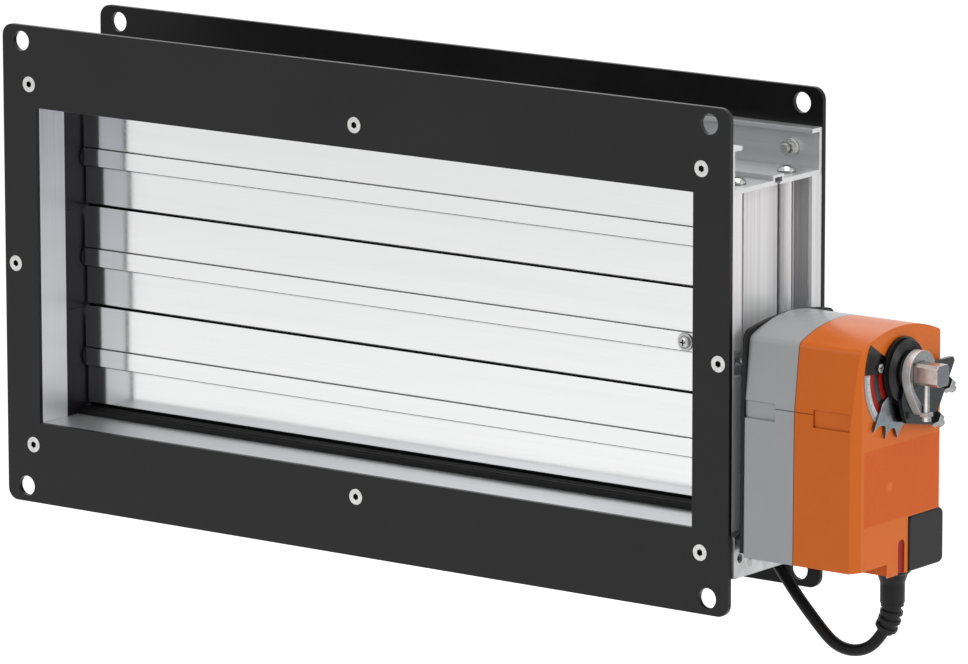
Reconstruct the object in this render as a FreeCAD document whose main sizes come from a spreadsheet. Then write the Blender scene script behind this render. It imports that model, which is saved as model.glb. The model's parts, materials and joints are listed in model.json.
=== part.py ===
import FreeCAD, Part
import math
import os
import Sketcher
from FreeCAD import Placement, Rotation, Vector

# Multi-blade damper with a spring-return actuator, in millimetres.
# Origin: centre of the front flange plate's front face. X runs along the
# blades towards the actuator, Y runs back through the duct, Z is up.

DIMENSIONS = [
    ("opening_width", 400), ("blade_pitch", 51), ("blade_margin", 3.5),
    ("plate_side", 21), ("plate_top", 41), ("plate_thick", 2.5), ("plate_corner", 6),
    ("duct_hole_side", 12), ("duct_hole_top", 8), ("duct_hole_radius", 5),
    ("frame_depth", 73.5), ("web_thick", 2.4), ("side_web_thick", 3.2),
    ("flange_thick", 2), ("frame_top_reach", 22.5), ("frame_side_reach", 20.6),
    ("lip_wide", 8), ("lip_thick", 2),
    ("rim_screw_side", 4.5), ("rim_screw_top", 11.5), ("side_screw_out", 14.5),
    ("rim_screw_radius", 2.4), ("rim_head_radius", 3.95), ("rim_screw_long", 11),
    ("nut_across", 7.4), ("nut_tall", 3.8), ("screw_gap", 0.35), ("nut_gap", 0.05),
    ("port_gap", 5.8), ("port_out", 11.6), ("port_radius", 3.6), ("port_bore", 2),
    ("corner_screw_long", 26), ("corner_screw_gap", 0.08), ("corner_head_radius", 4.5),
    ("gear_tip_gap", 0.35), ("chamber_wall", 1.4), ("chamber_deep", 8.2),
    ("plate_recess", 1.2), ("plate_recess_wide", 3), ("side_plate_thick", 2),
    ("side_plate_gap", 0.1),
    ("blade_end_gap", 1.1), ("blade_boss_half", 4.4),
    ("blade_face", 3.95), ("blade_low_face", 2.35), ("blade_lap", 0.6),
    ("nose_gap", 0.2), ("blade_skin", 1.2), ("blade_bore", 6.5),
    ("seal_lap", 2.2), ("seal_lip_front", 2.5),
    ("spigot_square", 6.3), ("spigot_long", 15),
    ("gear_teeth", 17), ("gear_wide", 5), ("gear_backlash", 0.14),
    ("gear_end_gap", 0.3), ("hub_radius", 5.9), ("bearing_gap", 0.06),
    ("idler_pin_radius", 2.5),
    ("shaft_square", 10), ("shaft_chamfer", 1.4), ("shaft_out", 93.7),
    ("journal_radius", 6.3), ("bush_radius", 8), ("bush_flange_radius", 9.5),
    ("blade_screw_inset", 28.4), ("shaft_spigot_long", 40),
    ("stop_seal_wide", 6.8), ("stop_seal_tall", 3.5), ("stop_seal_gap", 0.35),
    ("bracket_thick", 2), ("bracket_upright_half", 26.75), ("bracket_tab_long", 22.6),
    ("back_plate_thick", 5.6), ("actuator_shift", 0.75), ("actuator_low_half", 38),
    ("actuator_mid_half", 37.5), ("actuator_top_half", 33.5), ("actuator_bottom", 91),
    ("actuator_mid_drop", 20), ("actuator_shoulder", 13.8), ("dome_radius", 82),
    ("base_deep", 28), ("cover_deep", 34.4), ("shell_wall", 2.2), ("back_plate_rim", 0.4),
    ("rim_plate_thick", 2), ("spacer_inset", 6),
    ("fixing_lift", 16.5), ("bracket_hole_in", 4.75), ("bracket_hole_pitch", 9),
    ("fixing_radius", 1.7), ("fixing_long", 9.4), ("fixing_head_radius", 3.4),
    ("fixing_head_tall", 2.4), ("fixing_head_crown", 2),
    ("motor_radius", 15), ("motor_long", 24), ("motor_drop", 62), ("motor_side", 14),
    ("motor_hub_radius", 4), ("motor_hub_long", 8), ("floor_gap", 0.1),
    ("spring_radius", 16), ("spring_bore", 11), ("spring_long", 9),
    ("board_thick", 1.7), ("board_side", 5), ("board_wide", 29), ("board_lift", 8),
    ("board_tall", 47), ("board_plug_in", 4), ("board_plug_lift", 6),
    ("board_plug_wide", 11), ("board_plug_tall", 16), ("board_plug_deep", 10.3),
    ("foot_drop", 6.6), ("terminal_wide", 28.7), ("terminal_tall", 26.3),
    ("terminal_deep", 24), ("terminal_left", 7.7), ("terminal_proud", 0.8),
    ("insert_wide", 5.4), ("insert_tall", 14), ("insert_left", 0.6),
    ("sleeve_radius", 9), ("sleeve_bore", 7.2), ("hub_ring_radius", 16),
    ("hub_ring_thick", 1.4), ("hub_disc_radius", 14.5), ("hub_disc_thick", 1.6),
    ("clamp_gap", 0.7), ("clamp_plate_thick", 2.25), ("jaw_thick", 4.5),
    ("clamp_reach", 38.5), ("clamp_screw_radius", 1.4), ("clamp_nut_across", 7),
    ("scale_outer", 30), ("scale_inner", 26), ("scale_thick", 0.5),
    ("relief_top_radius", 8.5), ("relief_neck_radius", 5.9), ("relief_long", 16.4),
    ("relief_inset", 10.6), ("relief_side", 10.95),
    ("boot_bend_radius", 25), ("boot_turn", 34), ("boot_radius", 4.4),
    ("boot_rib_radius", 5.5), ("boot_rib_thick", 1.7), ("boot_rib_pitch", 9),
    ("cable_radius", 2.9),
    ("hank_run", 116), ("hank_turn_radius", 28.3), ("hank_centre", 101.2),
    ("tie_thick", 1), ("tie_wide", 4.8),
]


class Size:
    """A dimension known both as a number and as a formula on the sheet."""

    def __init__(self, value, text):
        self.value = float(value)
        self.text = text

    def __float__(self):
        return self.value

    def __add__(self, other):
        return Size(self.value + float(other), "(%s + %s)" % (self.text, text_of(other)))

    def __radd__(self, other):
        return Size(float(other) + self.value, "(%s + %s)" % (text_of(other), self.text))

    def __sub__(self, other):
        return Size(self.value - float(other), "(%s - %s)" % (self.text, text_of(other)))

    def __rsub__(self, other):
        return Size(float(other) - self.value, "(%s - %s)" % (text_of(other), self.text))

    def __mul__(self, other):
        return Size(self.value * float(other), "(%s * %s)" % (self.text, text_of(other)))

    def __rmul__(self, other):
        return self * other

    def __truediv__(self, other):
        return Size(self.value / float(other), "(%s / %s)" % (self.text, text_of(other)))

    def __neg__(self):
        return Size(-self.value, "(0 - %s)" % self.text)


def text_of(number):
    return number.text if isinstance(number, Size) else "%.6f" % number


class Dims:
    """The driving dimensions by name."""


doc = FreeCAD.newDocument("multi_blade_damper")
sheet = doc.addObject("Spreadsheet::Sheet", "dims")
D = Dims()
for row, (name, value) in enumerate(DIMENSIONS, start=1):
    sheet.set("A%d" % row, name)
    sheet.set("B%d" % row, str(value))
    sheet.setAlias("B%d" % row, name)
    setattr(D, name, Size(value, "dims.%s" % name))
doc.recompute()

# Sizes that follow from the blade pitch: three rows, and a gear train at half the pitch
D.opening_height = D.blade_pitch * 3 + D.blade_margin * 2
D.blade_tip = D.blade_pitch / 2 + D.blade_lap
D.blade_nose = D.blade_pitch / 2 - D.nose_gap
D.seal_tip = D.blade_pitch / 2 + D.seal_lap
D.gear_module = D.blade_pitch / 2 / D.gear_teeth
D.chamber_half = D.blade_pitch / 4 + D.gear_module + D.gear_tip_gap
D.plate_recess_half = D.chamber_half + D.plate_recess_wide
D.port_offset = D.chamber_half + D.port_gap

NODES = []
CUTS = []


def bind(item, prop, size):
    """Set a property and, where the size comes from the sheet, tie it there."""
    setattr(item, prop, float(size))
    if isinstance(size, Size):
        item.setExpression(prop, size.text)


def place(item, x=0, y=0, z=0, turn=None):
    item.Placement = Placement(Vector(float(x), float(y), float(z)), turn or Rotation())
    for axis, size in zip("xyz", (x, y, z)):
        if isinstance(size, Size):
            item.setExpression("Placement.Base." + axis, size.text)
    return item


def new_body(label, is_node=True):
    body = doc.addObject("PartDesign::Body", label)
    body.Label = label
    if is_node:
        NODES.append(body)
    return body


def hold(sketch, edge, end, axis, size):
    """Hold one point of a sketch at a distance from its origin along one axis."""
    if not isinstance(size, Size) and size == 0:
        line = -2 if axis == "X" else -1
        sketch.addConstraint(Sketcher.Constraint("PointOnObject", edge, end, line))
        return
    index = sketch.addConstraint(
        Sketcher.Constraint("Distance" + axis, -1, 1, edge, end, float(size)))
    if isinstance(size, Size):
        sketch.setExpression("Constraints[%d]" % index, size.text)


def arc_between(start, end, radius):
    """An arc from start to end that bows to the right for a positive radius."""
    chord = end - start
    half = chord.Length / 2
    side = 1 if radius > 0 else -1
    normal = Vector(-chord.y, chord.x, 0).normalize() * side
    centre = (start + end) / 2 + normal * math.sqrt(max(radius * radius - half * half, 0))
    first, last = (start, end) if side > 0 else (end, start)
    begin = math.atan2(first.y - centre.y, first.x - centre.x)
    finish = math.atan2(last.y - centre.y, last.x - centre.x)
    if finish < begin:
        finish += 2 * math.pi
    circle = Part.Circle(centre, Vector(0, 0, 1), abs(radius))
    return Part.ArcOfCircle(circle, begin, finish)


def outline(corners, bows=None):
    """A closed ring through the corners; bows gives the arc radius of some edges."""
    def draw(sketch):
        bow = bows or {}
        base = sketch.GeometryCount
        count = len(corners)
        points = [Vector(float(u), float(v), 0) for u, v in corners]
        ends = []
        for i in range(count):
            start, end = points[i], points[(i + 1) % count]
            if i in bow:
                radius = float(bow[i])
                sketch.addGeometry(arc_between(start, end, radius))
                ends.append((1, 2) if radius > 0 else (2, 1))
            else:
                sketch.addGeometry(Part.LineSegment(start, end))
                ends.append((1, 2))
        for i in range(count):
            after = (i + 1) % count
            sketch.addConstraint(Sketcher.Constraint(
                "Coincident", base + i, ends[i][1], base + after, ends[after][0]))
        for i, (u, v) in enumerate(corners):
            hold(sketch, base + i, ends[i][0], "X", u)
            hold(sketch, base + i, ends[i][0], "Y", v)
        for i, radius in bow.items():
            index = sketch.addConstraint(
                Sketcher.Constraint("Radius", base + i, abs(float(radius))))
            if isinstance(radius, Size):
                size = radius if radius.value > 0 else -radius
                sketch.setExpression("Constraints[%d]" % index, size.text)
    return draw


def rectangle(left, bottom, right, top):
    return outline([(left, bottom), (right, bottom), (right, top), (left, top)])


def circle(u, v, radius):
    def draw(sketch):
        edge = sketch.addGeometry(
            Part.Circle(Vector(float(u), float(v), 0), Vector(0, 0, 1), float(radius)))
        index = sketch.addConstraint(Sketcher.Constraint("Radius", edge, float(radius)))
        if isinstance(radius, Size):
            sketch.setExpression("Constraints[%d]" % index, radius.text)
        hold(sketch, edge, 3, "X", u)
        hold(sketch, edge, 3, "Y", v)
    return draw


def polygon(u, v, across, sides=6):
    """A regular polygon given by the distance across its flats."""
    reach = across / 2 / math.cos(math.pi / sides)
    corners = []
    for i in range(sides):
        angle = 2 * math.pi * (i + 0.5) / sides
        corners.append((u + reach * math.cos(angle), v + reach * math.sin(angle)))
    return outline(corners)


def sketch_on(body, plane, height, rings):
    """A sketch on one of the body's own planes, at a height along its normal."""
    name = "%s_sketch_%d" % (body.Name, len(body.Group))
    sketch = body.newObject("Sketcher::SketchObject", name)
    support = [f for f in body.Origin.OriginFeatures if f.Role == plane + "_Plane"][0]
    sketch.AttachmentSupport = [(support, "")]
    sketch.MapMode = "FlatFace"
    sketch.AttachmentOffset = Placement(Vector(0, 0, float(height)), Rotation())
    if isinstance(height, Size):
        sketch.setExpression("AttachmentOffset.Base.z", height.text)
    for ring in rings:
        ring(sketch)
    return sketch


def pad(body, plane, low, high, *rings):
    """Material between two heights on the global axis across the plane."""
    height = -high if plane == "XZ" else low
    sketch = sketch_on(body, plane, height, rings)
    feature = body.newObject("PartDesign::Pad", "%s_pad_%d" % (body.Name, len(body.Group)))
    feature.Profile = sketch
    bind(feature, "Length", high - low)
    return feature


def pocket(body, plane, low, high, *rings):
    """Take material away between two heights on the global axis across the plane."""
    height = -low if plane == "XZ" else high
    sketch = sketch_on(body, plane, height, rings)
    feature = body.newObject("PartDesign::Pocket",
                             "%s_pocket_%d" % (body.Name, len(body.Group)))
    feature.Profile = sketch
    bind(feature, "Length", high - low)
    CUTS.append(feature)
    return feature


def revolve(body, plane, axis, ring):
    sketch = sketch_on(body, plane, 0, [ring])
    feature = body.newObject("PartDesign::Revolution",
                             "%s_revolve_%d" % (body.Name, len(body.Group)))
    feature.Profile = sketch
    feature.ReferenceAxis = (sketch, [axis])
    feature.Angle = 360
    return feature


def dress(body, kind, size, chosen):
    """Fillet or chamfer the edges of the tip that the test picks."""
    doc.recompute()
    tip = body.Tip
    names = ["Edge%d" % (i + 1) for i, edge in enumerate(tip.Shape.Edges) if chosen(edge)]
    feature = body.newObject("PartDesign::" + kind,
                             "%s_%s_%d" % (body.Name, kind.lower(), len(body.Group)))
    feature.Base = (tip, names)
    bind(feature, "Radius" if kind == "Fillet" else "Size", size)
    return feature


def runs_along(edge, axis):
    """Whether a straight edge runs along X, Y or Z."""
    if edge.Curve.TypeId != "Part::GeomLine":
        return False
    step = edge.Vertexes[-1].Point - edge.Vertexes[0].Point
    return abs(abs(getattr(step, axis)) - step.Length) < 1e-6


def copies(label, source, places):
    """Identical pieces in one node: linked copies of one modelled piece."""
    links = []
    for number, (x, y, z, turn) in enumerate(places):
        link = doc.addObject("App::Link", "%s_%d" % (label, number))
        link.LinkedObject = source
        links.append(place(link, x, y, z, turn))
    group = doc.addObject("Part::Compound", label)
    group.Label = label
    group.Links = links
    NODES.append(group)
    return group


def shape_node(label, shape, x=0, y=0, z=0):
    """A piece whose form only a formula gives, such as a toothed wheel."""
    item = doc.addObject("Part::Feature", label)
    item.Label = label
    item.Shape = shape
    place(item, x, y, z)
    NODES.append(item)
    return item


FACE_FRONT = Rotation(Vector(1, 0, 0), 90)
FACE_BACK = Rotation(Vector(1, 0, 0), -90)
FACE_UP = Rotation()
FACE_DOWN = Rotation(Vector(1, 0, 0), 180)
FACE_RIGHT = Rotation(Vector(0, 1, 0), 90)

# Places that several pieces share
half_wide = D.opening_width / 2
half_tall = D.opening_height / 2
frame_front = D.plate_thick
frame_back = D.plate_thick + D.frame_depth
total_depth = D.frame_depth + D.plate_thick * 2
axis_y = total_depth / 2
frame_end = half_wide + D.frame_side_reach
frame_top = half_tall + D.frame_top_reach
plate_half_wide = half_wide + D.plate_side
plate_half_tall = half_tall + D.plate_top
rim_x = half_wide + D.rim_screw_side
rim_z = half_tall + D.rim_screw_top
side_x = half_wide + D.side_screw_out
RIM = [(sx * rim_x, sz * rim_z) for sx in (-1, 1) for sz in (-1, 1)]
RIM += [(0, -rim_z), (0, rim_z)]
RIM += [(-side_x, 0), (side_x, 0)]
hole_radius = D.rim_screw_radius + D.screw_gap
chamber_outer = D.chamber_half + D.chamber_wall
wall_out = half_wide + D.chamber_deep + D.chamber_wall
stop_front_back = axis_y - D.seal_lip_front - D.stop_seal_gap
stop_low_y = stop_front_back - D.stop_seal_wide / 2
stop_top_y = axis_y - D.blade_face + D.blade_skin + D.stop_seal_gap + D.stop_seal_wide / 2


def flange_plate(label, front, back, outer_y):
    """One rectangular duct flange: window, four duct holes and countersunk rim holes."""
    body = new_body(label)
    hole_x = plate_half_wide - D.duct_hole_side
    hole_z = plate_half_tall - D.duct_hole_top
    corners = [circle(sx * hole_x, sz * hole_z, D.duct_hole_radius)
               for sx in (-1, 1) for sz in (-1, 1)]
    pad(body, "XZ", front, back,
        rectangle(-plate_half_wide, -plate_half_tall, plate_half_wide, plate_half_tall),
        rectangle(-half_wide, -half_tall, half_wide, half_tall),
        *corners, *[circle(x, z, hole_radius) for x, z in RIM])

    def is_corner(edge):
        outside = abs(abs(edge.CenterOfMass.x) - float(plate_half_wide)) < 0.1
        return runs_along(edge, "y") and outside

    def is_rim_hole(edge):
        round_edge = edge.Curve.TypeId == "Part::GeomCircle"
        rim = round_edge and abs(edge.Curve.Radius - float(hole_radius)) < 0.01
        return rim and abs(edge.CenterOfMass.y - float(outer_y)) < 0.01

    dress(body, "Fillet", D.plate_corner, is_corner)
    dress(body, "Chamfer", D.rim_head_radius + 0.3 - hole_radius, is_rim_hole)


flange_plate("front_flange_plate", D.plate_thick * 0, frame_front, 0)
flange_plate("rear_flange_plate", frame_back, total_depth, total_depth)


def long_profile(label, sign, seal_y):
    """Top or bottom frame extrusion: a C with lips and a T slot for the stop seal."""
    def up(z):
        return sign * z

    body = new_body(label)
    web = half_tall + D.web_thick
    slot_roof = web + 1.2
    ring = [(frame_front, up(half_tall)),
            (seal_y - 1.4, up(half_tall)), (seal_y - 1.4, up(half_tall + 1.2)),
            (seal_y - 3, up(half_tall + 1.2)), (seal_y - 3, up(slot_roof)),
            (seal_y + 3, up(slot_roof)), (seal_y + 3, up(half_tall + 1.2)),
            (seal_y + 1.4, up(half_tall + 1.2)), (seal_y + 1.4, up(half_tall)),
            (frame_back, up(half_tall)),
            (frame_back, up(frame_top)), (frame_back - D.lip_wide, up(frame_top)),
            (frame_back - D.lip_wide, up(frame_top - D.lip_thick)),
            (frame_back - D.flange_thick, up(frame_top - D.lip_thick)),
            (frame_back - D.flange_thick, up(web)),
            (seal_y + 4.4, up(web)), (seal_y + 4.4, up(slot_roof + 1.2)),
            (seal_y - 4.4, up(slot_roof + 1.2)), (seal_y - 4.4, up(web)),
            (frame_front + D.flange_thick, up(web)),
            (frame_front + D.flange_thick, up(frame_top - D.lip_thick)),
            (frame_front + D.lip_wide, up(frame_top - D.lip_thick)),
            (frame_front + D.lip_wide, up(frame_top)),
            (frame_front, up(frame_top))]
    pad(body, "YZ", -frame_end, frame_end, outline(ring))
    rims = [circle(x, up(rim_z), hole_radius) for x in (-rim_x, 0, rim_x)]
    pocket(body, "XZ", frame_front - 1, frame_back + 1, *rims)
    holes = [circle(sx * (half_wide + D.port_out), axis_y + sy * D.port_offset,
                    D.port_bore + D.screw_gap)
             for sx in (-1, 1) for sy in (-1, 1)]
    low, high = (web - D.web_thick - 1, web + 1) if sign > 0 else (-web - 1, 1 - half_tall)
    pocket(body, "XY", low, high, *holes)


long_profile("top_frame_profile", 1, stop_top_y)
long_profile("bottom_frame_profile", -1, stop_low_y)


def side_profile(label, sign):
    """Left or right extrusion: web, gear chamber, two screw ports, lipped flanges."""
    def out(u):
        return sign * (half_wide + u)

    body = new_body(label)
    web = D.side_web_thick
    reach = D.frame_side_reach
    chamber = D.chamber_deep
    inner_front = frame_front + D.flange_thick
    inner_back = frame_back - D.flange_thick
    ring = [(out(0), frame_front), (out(0), axis_y - D.plate_recess_half),
            (out(D.plate_recess), axis_y - D.plate_recess_half),
            (out(D.plate_recess), axis_y - D.chamber_half),
            (out(chamber), axis_y - D.chamber_half),
            (out(chamber), axis_y + D.chamber_half),
            (out(D.plate_recess), axis_y + D.chamber_half),
            (out(D.plate_recess), axis_y + D.plate_recess_half),
            (out(0), axis_y + D.plate_recess_half), (out(0), frame_back),
            (out(reach), frame_back), (out(reach), frame_back - D.lip_wide),
            (out(reach - D.lip_thick), frame_back - D.lip_wide),
            (out(reach - D.lip_thick), inner_back), (out(web), inner_back),
            (out(web), axis_y + chamber_outer),
            (out(chamber + D.chamber_wall), axis_y + chamber_outer),
            (out(chamber + D.chamber_wall), axis_y - chamber_outer),
            (out(web), axis_y - chamber_outer), (out(web), inner_front),
            (out(reach - D.lip_thick), inner_front),
            (out(reach - D.lip_thick), frame_front + D.lip_wide),
            (out(reach), frame_front + D.lip_wide), (out(reach), frame_front)]
    if sign < 0:
        ring.reverse()
    pad(body, "XY", -half_tall, half_tall, outline(ring))
    for side in (-1, 1):
        port_y = axis_y + side * D.port_offset
        neck = [out(web - 0.5), out(D.port_out)]
        neck = neck if sign > 0 else neck[::-1]
        pad(body, "XY", -half_tall, half_tall, circle(out(D.port_out), port_y, D.port_radius))
        pad(body, "XY", -half_tall, half_tall,
            rectangle(neck[0], port_y - 1.4, neck[1], port_y + 1.4))
    for side in (-1, 1):
        port_y = axis_y + side * D.port_offset
        slot = [out(D.port_out), out(D.port_out + D.port_radius + 1)]
        slot = slot if sign > 0 else slot[::-1]
        pocket(body, "XY", -half_tall - 1, half_tall + 1,
               circle(out(D.port_out), port_y, D.port_bore))
        pocket(body, "XY", -half_tall - 1, half_tall + 1,
               rectangle(slot[0], port_y - 0.8, slot[1], port_y + 0.8))
    notch = [out(reach - D.lip_thick - 4), out(reach + 1)]
    notch = notch if sign > 0 else notch[::-1]
    half_notch = D.nut_across / 2 + 2.5
    pocket(body, "XY", -half_notch, half_notch,
           rectangle(notch[0], inner_front, notch[1], frame_front + D.lip_wide + 0.1),
           rectangle(notch[0], frame_back - D.lip_wide - 0.1, notch[1], inner_back))
    pocket(body, "XZ", frame_front - 1, frame_back + 1, circle(sign * side_x, 0, hole_radius))
    return body


side_profile("left_frame_profile", -1)
right_side = side_profile("right_frame_profile", 1)
pocket(right_side, "YZ", half_wide + D.chamber_deep - 0.5, wall_out + 0.5,
       circle(axis_y, 0, D.bush_radius))
pocket(right_side, "YZ", half_wide + D.chamber_deep - 0.5, wall_out - 0.4,
       circle(axis_y, D.blade_pitch / 2, D.idler_pin_radius + 0.05),
       circle(axis_y, -D.blade_pitch / 2, D.idler_pin_radius + 0.05))


# Rim screws, nuts and corner screws

rim_screw = new_body("rim_screw", is_node=False)
revolve(rim_screw, "XZ", "V_Axis",
        outline([(0, 0), (D.rim_head_radius, 0), (D.rim_head_radius, -0.1),
                 (D.rim_screw_radius, D.rim_screw_radius - D.rim_head_radius - 0.1),
                 (D.rim_screw_radius, -D.rim_screw_long), (0, -D.rim_screw_long)]))
pocket(rim_screw, "XY", -D.rim_screw_radius, D.rim_screw_radius,
       polygon(0, 0, D.rim_screw_radius * 1.25))

rim_nut = new_body("rim_nut", is_node=False)
nut_bore = D.rim_screw_radius + D.nut_gap
pad(rim_nut, "XY", D.nut_tall * 0, D.nut_tall * 0.25,
    circle(0, 0, D.nut_across * 0.6), circle(0, 0, nut_bore))
pad(rim_nut, "XY", D.nut_tall * 0.2, D.nut_tall,
    polygon(0, 0, D.nut_across), circle(0, 0, nut_bore))

copies("front_flange_screws", rim_screw,
       [(x, D.plate_thick * 0 + 0.1, z, FACE_FRONT) for x, z in RIM])
copies("rear_flange_screws", rim_screw,
       [(x, total_depth - 0.1, z, FACE_BACK) for x, z in RIM])


def nut_seat(x, z):
    """How far a nut sits off the flange: the actuator bracket's tabs lie under two."""
    under_tab = float(x) == float(rim_x) and float(z) < 0
    return D.flange_thick + (D.bracket_thick if under_tab else 0)


copies("flange_nuts", rim_nut,
       [(x, frame_front + nut_seat(x, z) + 0.05, z, FACE_BACK) for x, z in RIM]
       + [(x, frame_back - nut_seat(x, z) - 0.05, z, FACE_FRONT) for x, z in RIM])

corner_screw = new_body("corner_screw", is_node=False)
head_tall = D.corner_head_radius * 0.68
shank = D.port_bore - D.corner_screw_gap
revolve(corner_screw, "XZ", "V_Axis",
        outline([(0, 0), (0, -D.corner_screw_long), (shank * 0.3, -D.corner_screw_long),
                 (shank, shank * 1.5 - D.corner_screw_long), (shank, 0),
                 (D.corner_head_radius, 0), (D.corner_head_radius, head_tall * 0.35),
                 (D.corner_head_radius * 0.45, head_tall), (0, head_tall)],
                {6: D.corner_head_radius}))
cross_long = D.corner_head_radius * 0.55
cross_half = D.corner_head_radius * 0.14
for wide, tall in ((cross_long, cross_half), (cross_half, cross_long)):
    pocket(corner_screw, "XY", head_tall * 0.45, head_tall + 0.5,
           rectangle(-wide, -tall, wide, tall))
seat = half_tall + D.web_thick + 0.05
corner_places = []
for sign, turn in ((1, FACE_UP), (-1, FACE_DOWN)):
    for sx in (-1, 1):
        for sy in (-1, 1):
            corner_places.append((sx * (half_wide + D.port_out),
                                  axis_y + sy * D.port_offset, sign * seat, turn))
copies("frame_corner_screws", corner_screw, corner_places)


def stop_seal(label, sign, seal_y, tall):
    """Rubber stop in the top or bottom profile's T slot, with two sealing ridges."""
    body = new_body(label)
    half = D.stop_seal_wide / 2
    tip = half_tall - tall

    def up(z):
        return sign * z

    foot = half_tall + 1.35
    ring = [(seal_y - half, up(half_tall - 0.1)), (seal_y - half, up(tip + 1.2)),
            (seal_y - half + 1, up(tip)), (seal_y - 1, up(tip + 0.2)), (seal_y, up(tip + 1.1)),
            (seal_y + 1, up(tip + 0.2)), (seal_y + half - 1, up(tip)),
            (seal_y + half, up(tip + 1.2)), (seal_y + half, up(half_tall - 0.1)),
            (seal_y + 1.2, up(half_tall - 0.1)), (seal_y + 1.2, up(foot)),
            (seal_y + 2.8, up(foot)), (seal_y + 2.8, up(foot + 1.9)),
            (seal_y - 2.8, up(foot + 1.9)), (seal_y - 2.8, up(foot)),
            (seal_y - 1.2, up(foot)), (seal_y - 1.2, up(half_tall - 0.1))]
    inside = half_wide - 0.3
    pad(body, "YZ", -inside, inside, outline(ring))


stop_seal("top_stop_seal", 1, stop_top_y, D.stop_seal_tall + 1.8)
stop_seal("bottom_stop_seal", -1, stop_low_y, D.stop_seal_tall)


def side_plate(label, sign, row, bore):
    """A moulded plate that closes one bay of the side chamber and carries a blade."""
    body = new_body(label)
    gap = D.side_plate_gap
    edge = D.blade_pitch / 2 - gap
    low = -edge if row > -1 else -half_tall + D.blade_pitch + gap
    high = edge if row < 1 else half_tall - D.blade_pitch - gap
    if sign > 0:
        rim = (half_wide, half_wide + D.plate_recess)
        deep = (half_wide + D.plate_recess * 0.5, half_wide + D.side_plate_thick)
    else:
        rim = (-half_wide - D.plate_recess, -half_wide)
        deep = (-half_wide - D.side_plate_thick, -half_wide - D.plate_recess * 0.5)
    half_rim = D.plate_recess_half - gap
    half_deep = D.chamber_half - gap
    pad(body, "YZ", rim[0], rim[1], rectangle(-half_rim, low, half_rim, high),
        circle(0, 0, bore))
    pad(body, "YZ", deep[0], deep[1], rectangle(-half_deep, low, half_deep, high),
        circle(0, 0, bore))
    place(body, 0, axis_y, row * D.blade_pitch)


ROWS = (("bottom", -1), ("middle", 0), ("top", 1))
for name, row in ROWS:
    side_plate("bearing_plate_" + name, -1, row, D.hub_radius + D.bearing_gap)
    side_plate("gear_plate_" + name, 1, row, D.hub_radius + D.bearing_gap)


def blade(label, row):
    """Hollow aerofoil extrusion, standing closed, with a square bore on its axis."""
    body = new_body(label)
    boss = D.blade_boss_half
    face, low_face, skin = D.blade_face, D.blade_low_face, D.blade_skin
    tip, nose = D.blade_tip, D.blade_nose
    half_long = half_wide - D.blade_end_gap
    groove = 0.6
    ring = [(-face, tip), (-face, boss + groove), (-face + groove, boss + groove),
            (-face + groove, boss), (-boss, boss), (-boss, -boss),
            (-low_face + groove, -boss), (-low_face + groove, -boss - groove),
            (-low_face, -boss - groove), (-low_face, 1.6 - nose), (-0.7, -nose),
            (0, -nose), (0, 0.8 - nose), (-0.8, 0.8 - nose), (-0.8, 2.2 - nose),
            (1.8, 2.2 - nose), (1.8, 0.8 - nose), (1, 0.8 - nose), (1, -nose),
            (2.2, -nose), (2.9, 1.2 - nose), (boss - 0.4, -boss - groove),
            (boss, -boss), (boss, boss), (boss - 0.8, boss + groove),
            (skin - face, tip - 3.6), (skin - face, tip)]
    upper = [(skin - face, boss + 1), (2.3, boss + 1), (-1.8, tip - 8.1),
             (skin - face, tip - 6.6)]
    lower = [(-1.1, -boss - 1), (2.8, -boss - 1), (1.5, 3.5 - nose), (-1.1, 3.5 - nose)]
    bore = D.blade_bore / 2
    pad(body, "YZ", -half_long, half_long,
        outline(ring, {9: 2, 20: 70, 24: 60}), outline(upper), outline(lower),
        rectangle(-bore, -bore, bore, bore))
    if row == 0:
        screw_x = half_wide - D.blade_screw_inset
        pocket(body, "XZ", -boss - 1, boss * 0, circle(screw_x, 0, 2.2))
    place(body, 0, axis_y, row * D.blade_pitch)


def blade_seal(label, row):
    """Rubber lip along a blade's lower edge, held in the blade's slot."""
    body = new_body(label)
    nose, tip, front = D.blade_nose, D.seal_tip, D.seal_lip_front
    half_long = half_wide - D.blade_end_gap - 0.2
    ring = [(0.1, 0.9 - nose), (0.1, -nose - 0.2), (-front + 0.3, 2.2 - tip),
            (-front, 1.2 - tip), (-front + 0.4, -tip), (-front + 1.4, -tip),
            (-front + 1.9, 1.6 - tip), (0.9, -nose - 0.6), (0.9, 0.9 - nose),
            (1.7, 0.9 - nose), (1.7, 2.1 - nose), (-0.7, 2.1 - nose), (-0.7, 0.9 - nose)]
    pad(body, "YZ", -half_long, half_long, outline(ring))
    place(body, 0, axis_y, row * D.blade_pitch)


def blade_pin(label, row):
    """Moulded left bearing pin with a square spigot in the blade's bore."""
    body = new_body(label)
    half = D.spigot_square / 2
    blade_end = half_wide - D.blade_end_gap
    tail = half_wide + D.side_plate_thick + 1
    pad(body, "YZ", -blade_end - 0.1, D.spigot_long - blade_end,
        rectangle(-half, -half, half, half))
    pad(body, "YZ", -tail, -blade_end - 0.1, circle(0, 0, D.hub_radius))
    place(body, 0, axis_y, row * D.blade_pitch)


for name, row in ROWS:
    blade("blade_" + name, row)
    blade_seal("blade_seal_" + name, row)
    blade_pin("blade_pin_" + name, row)


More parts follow.
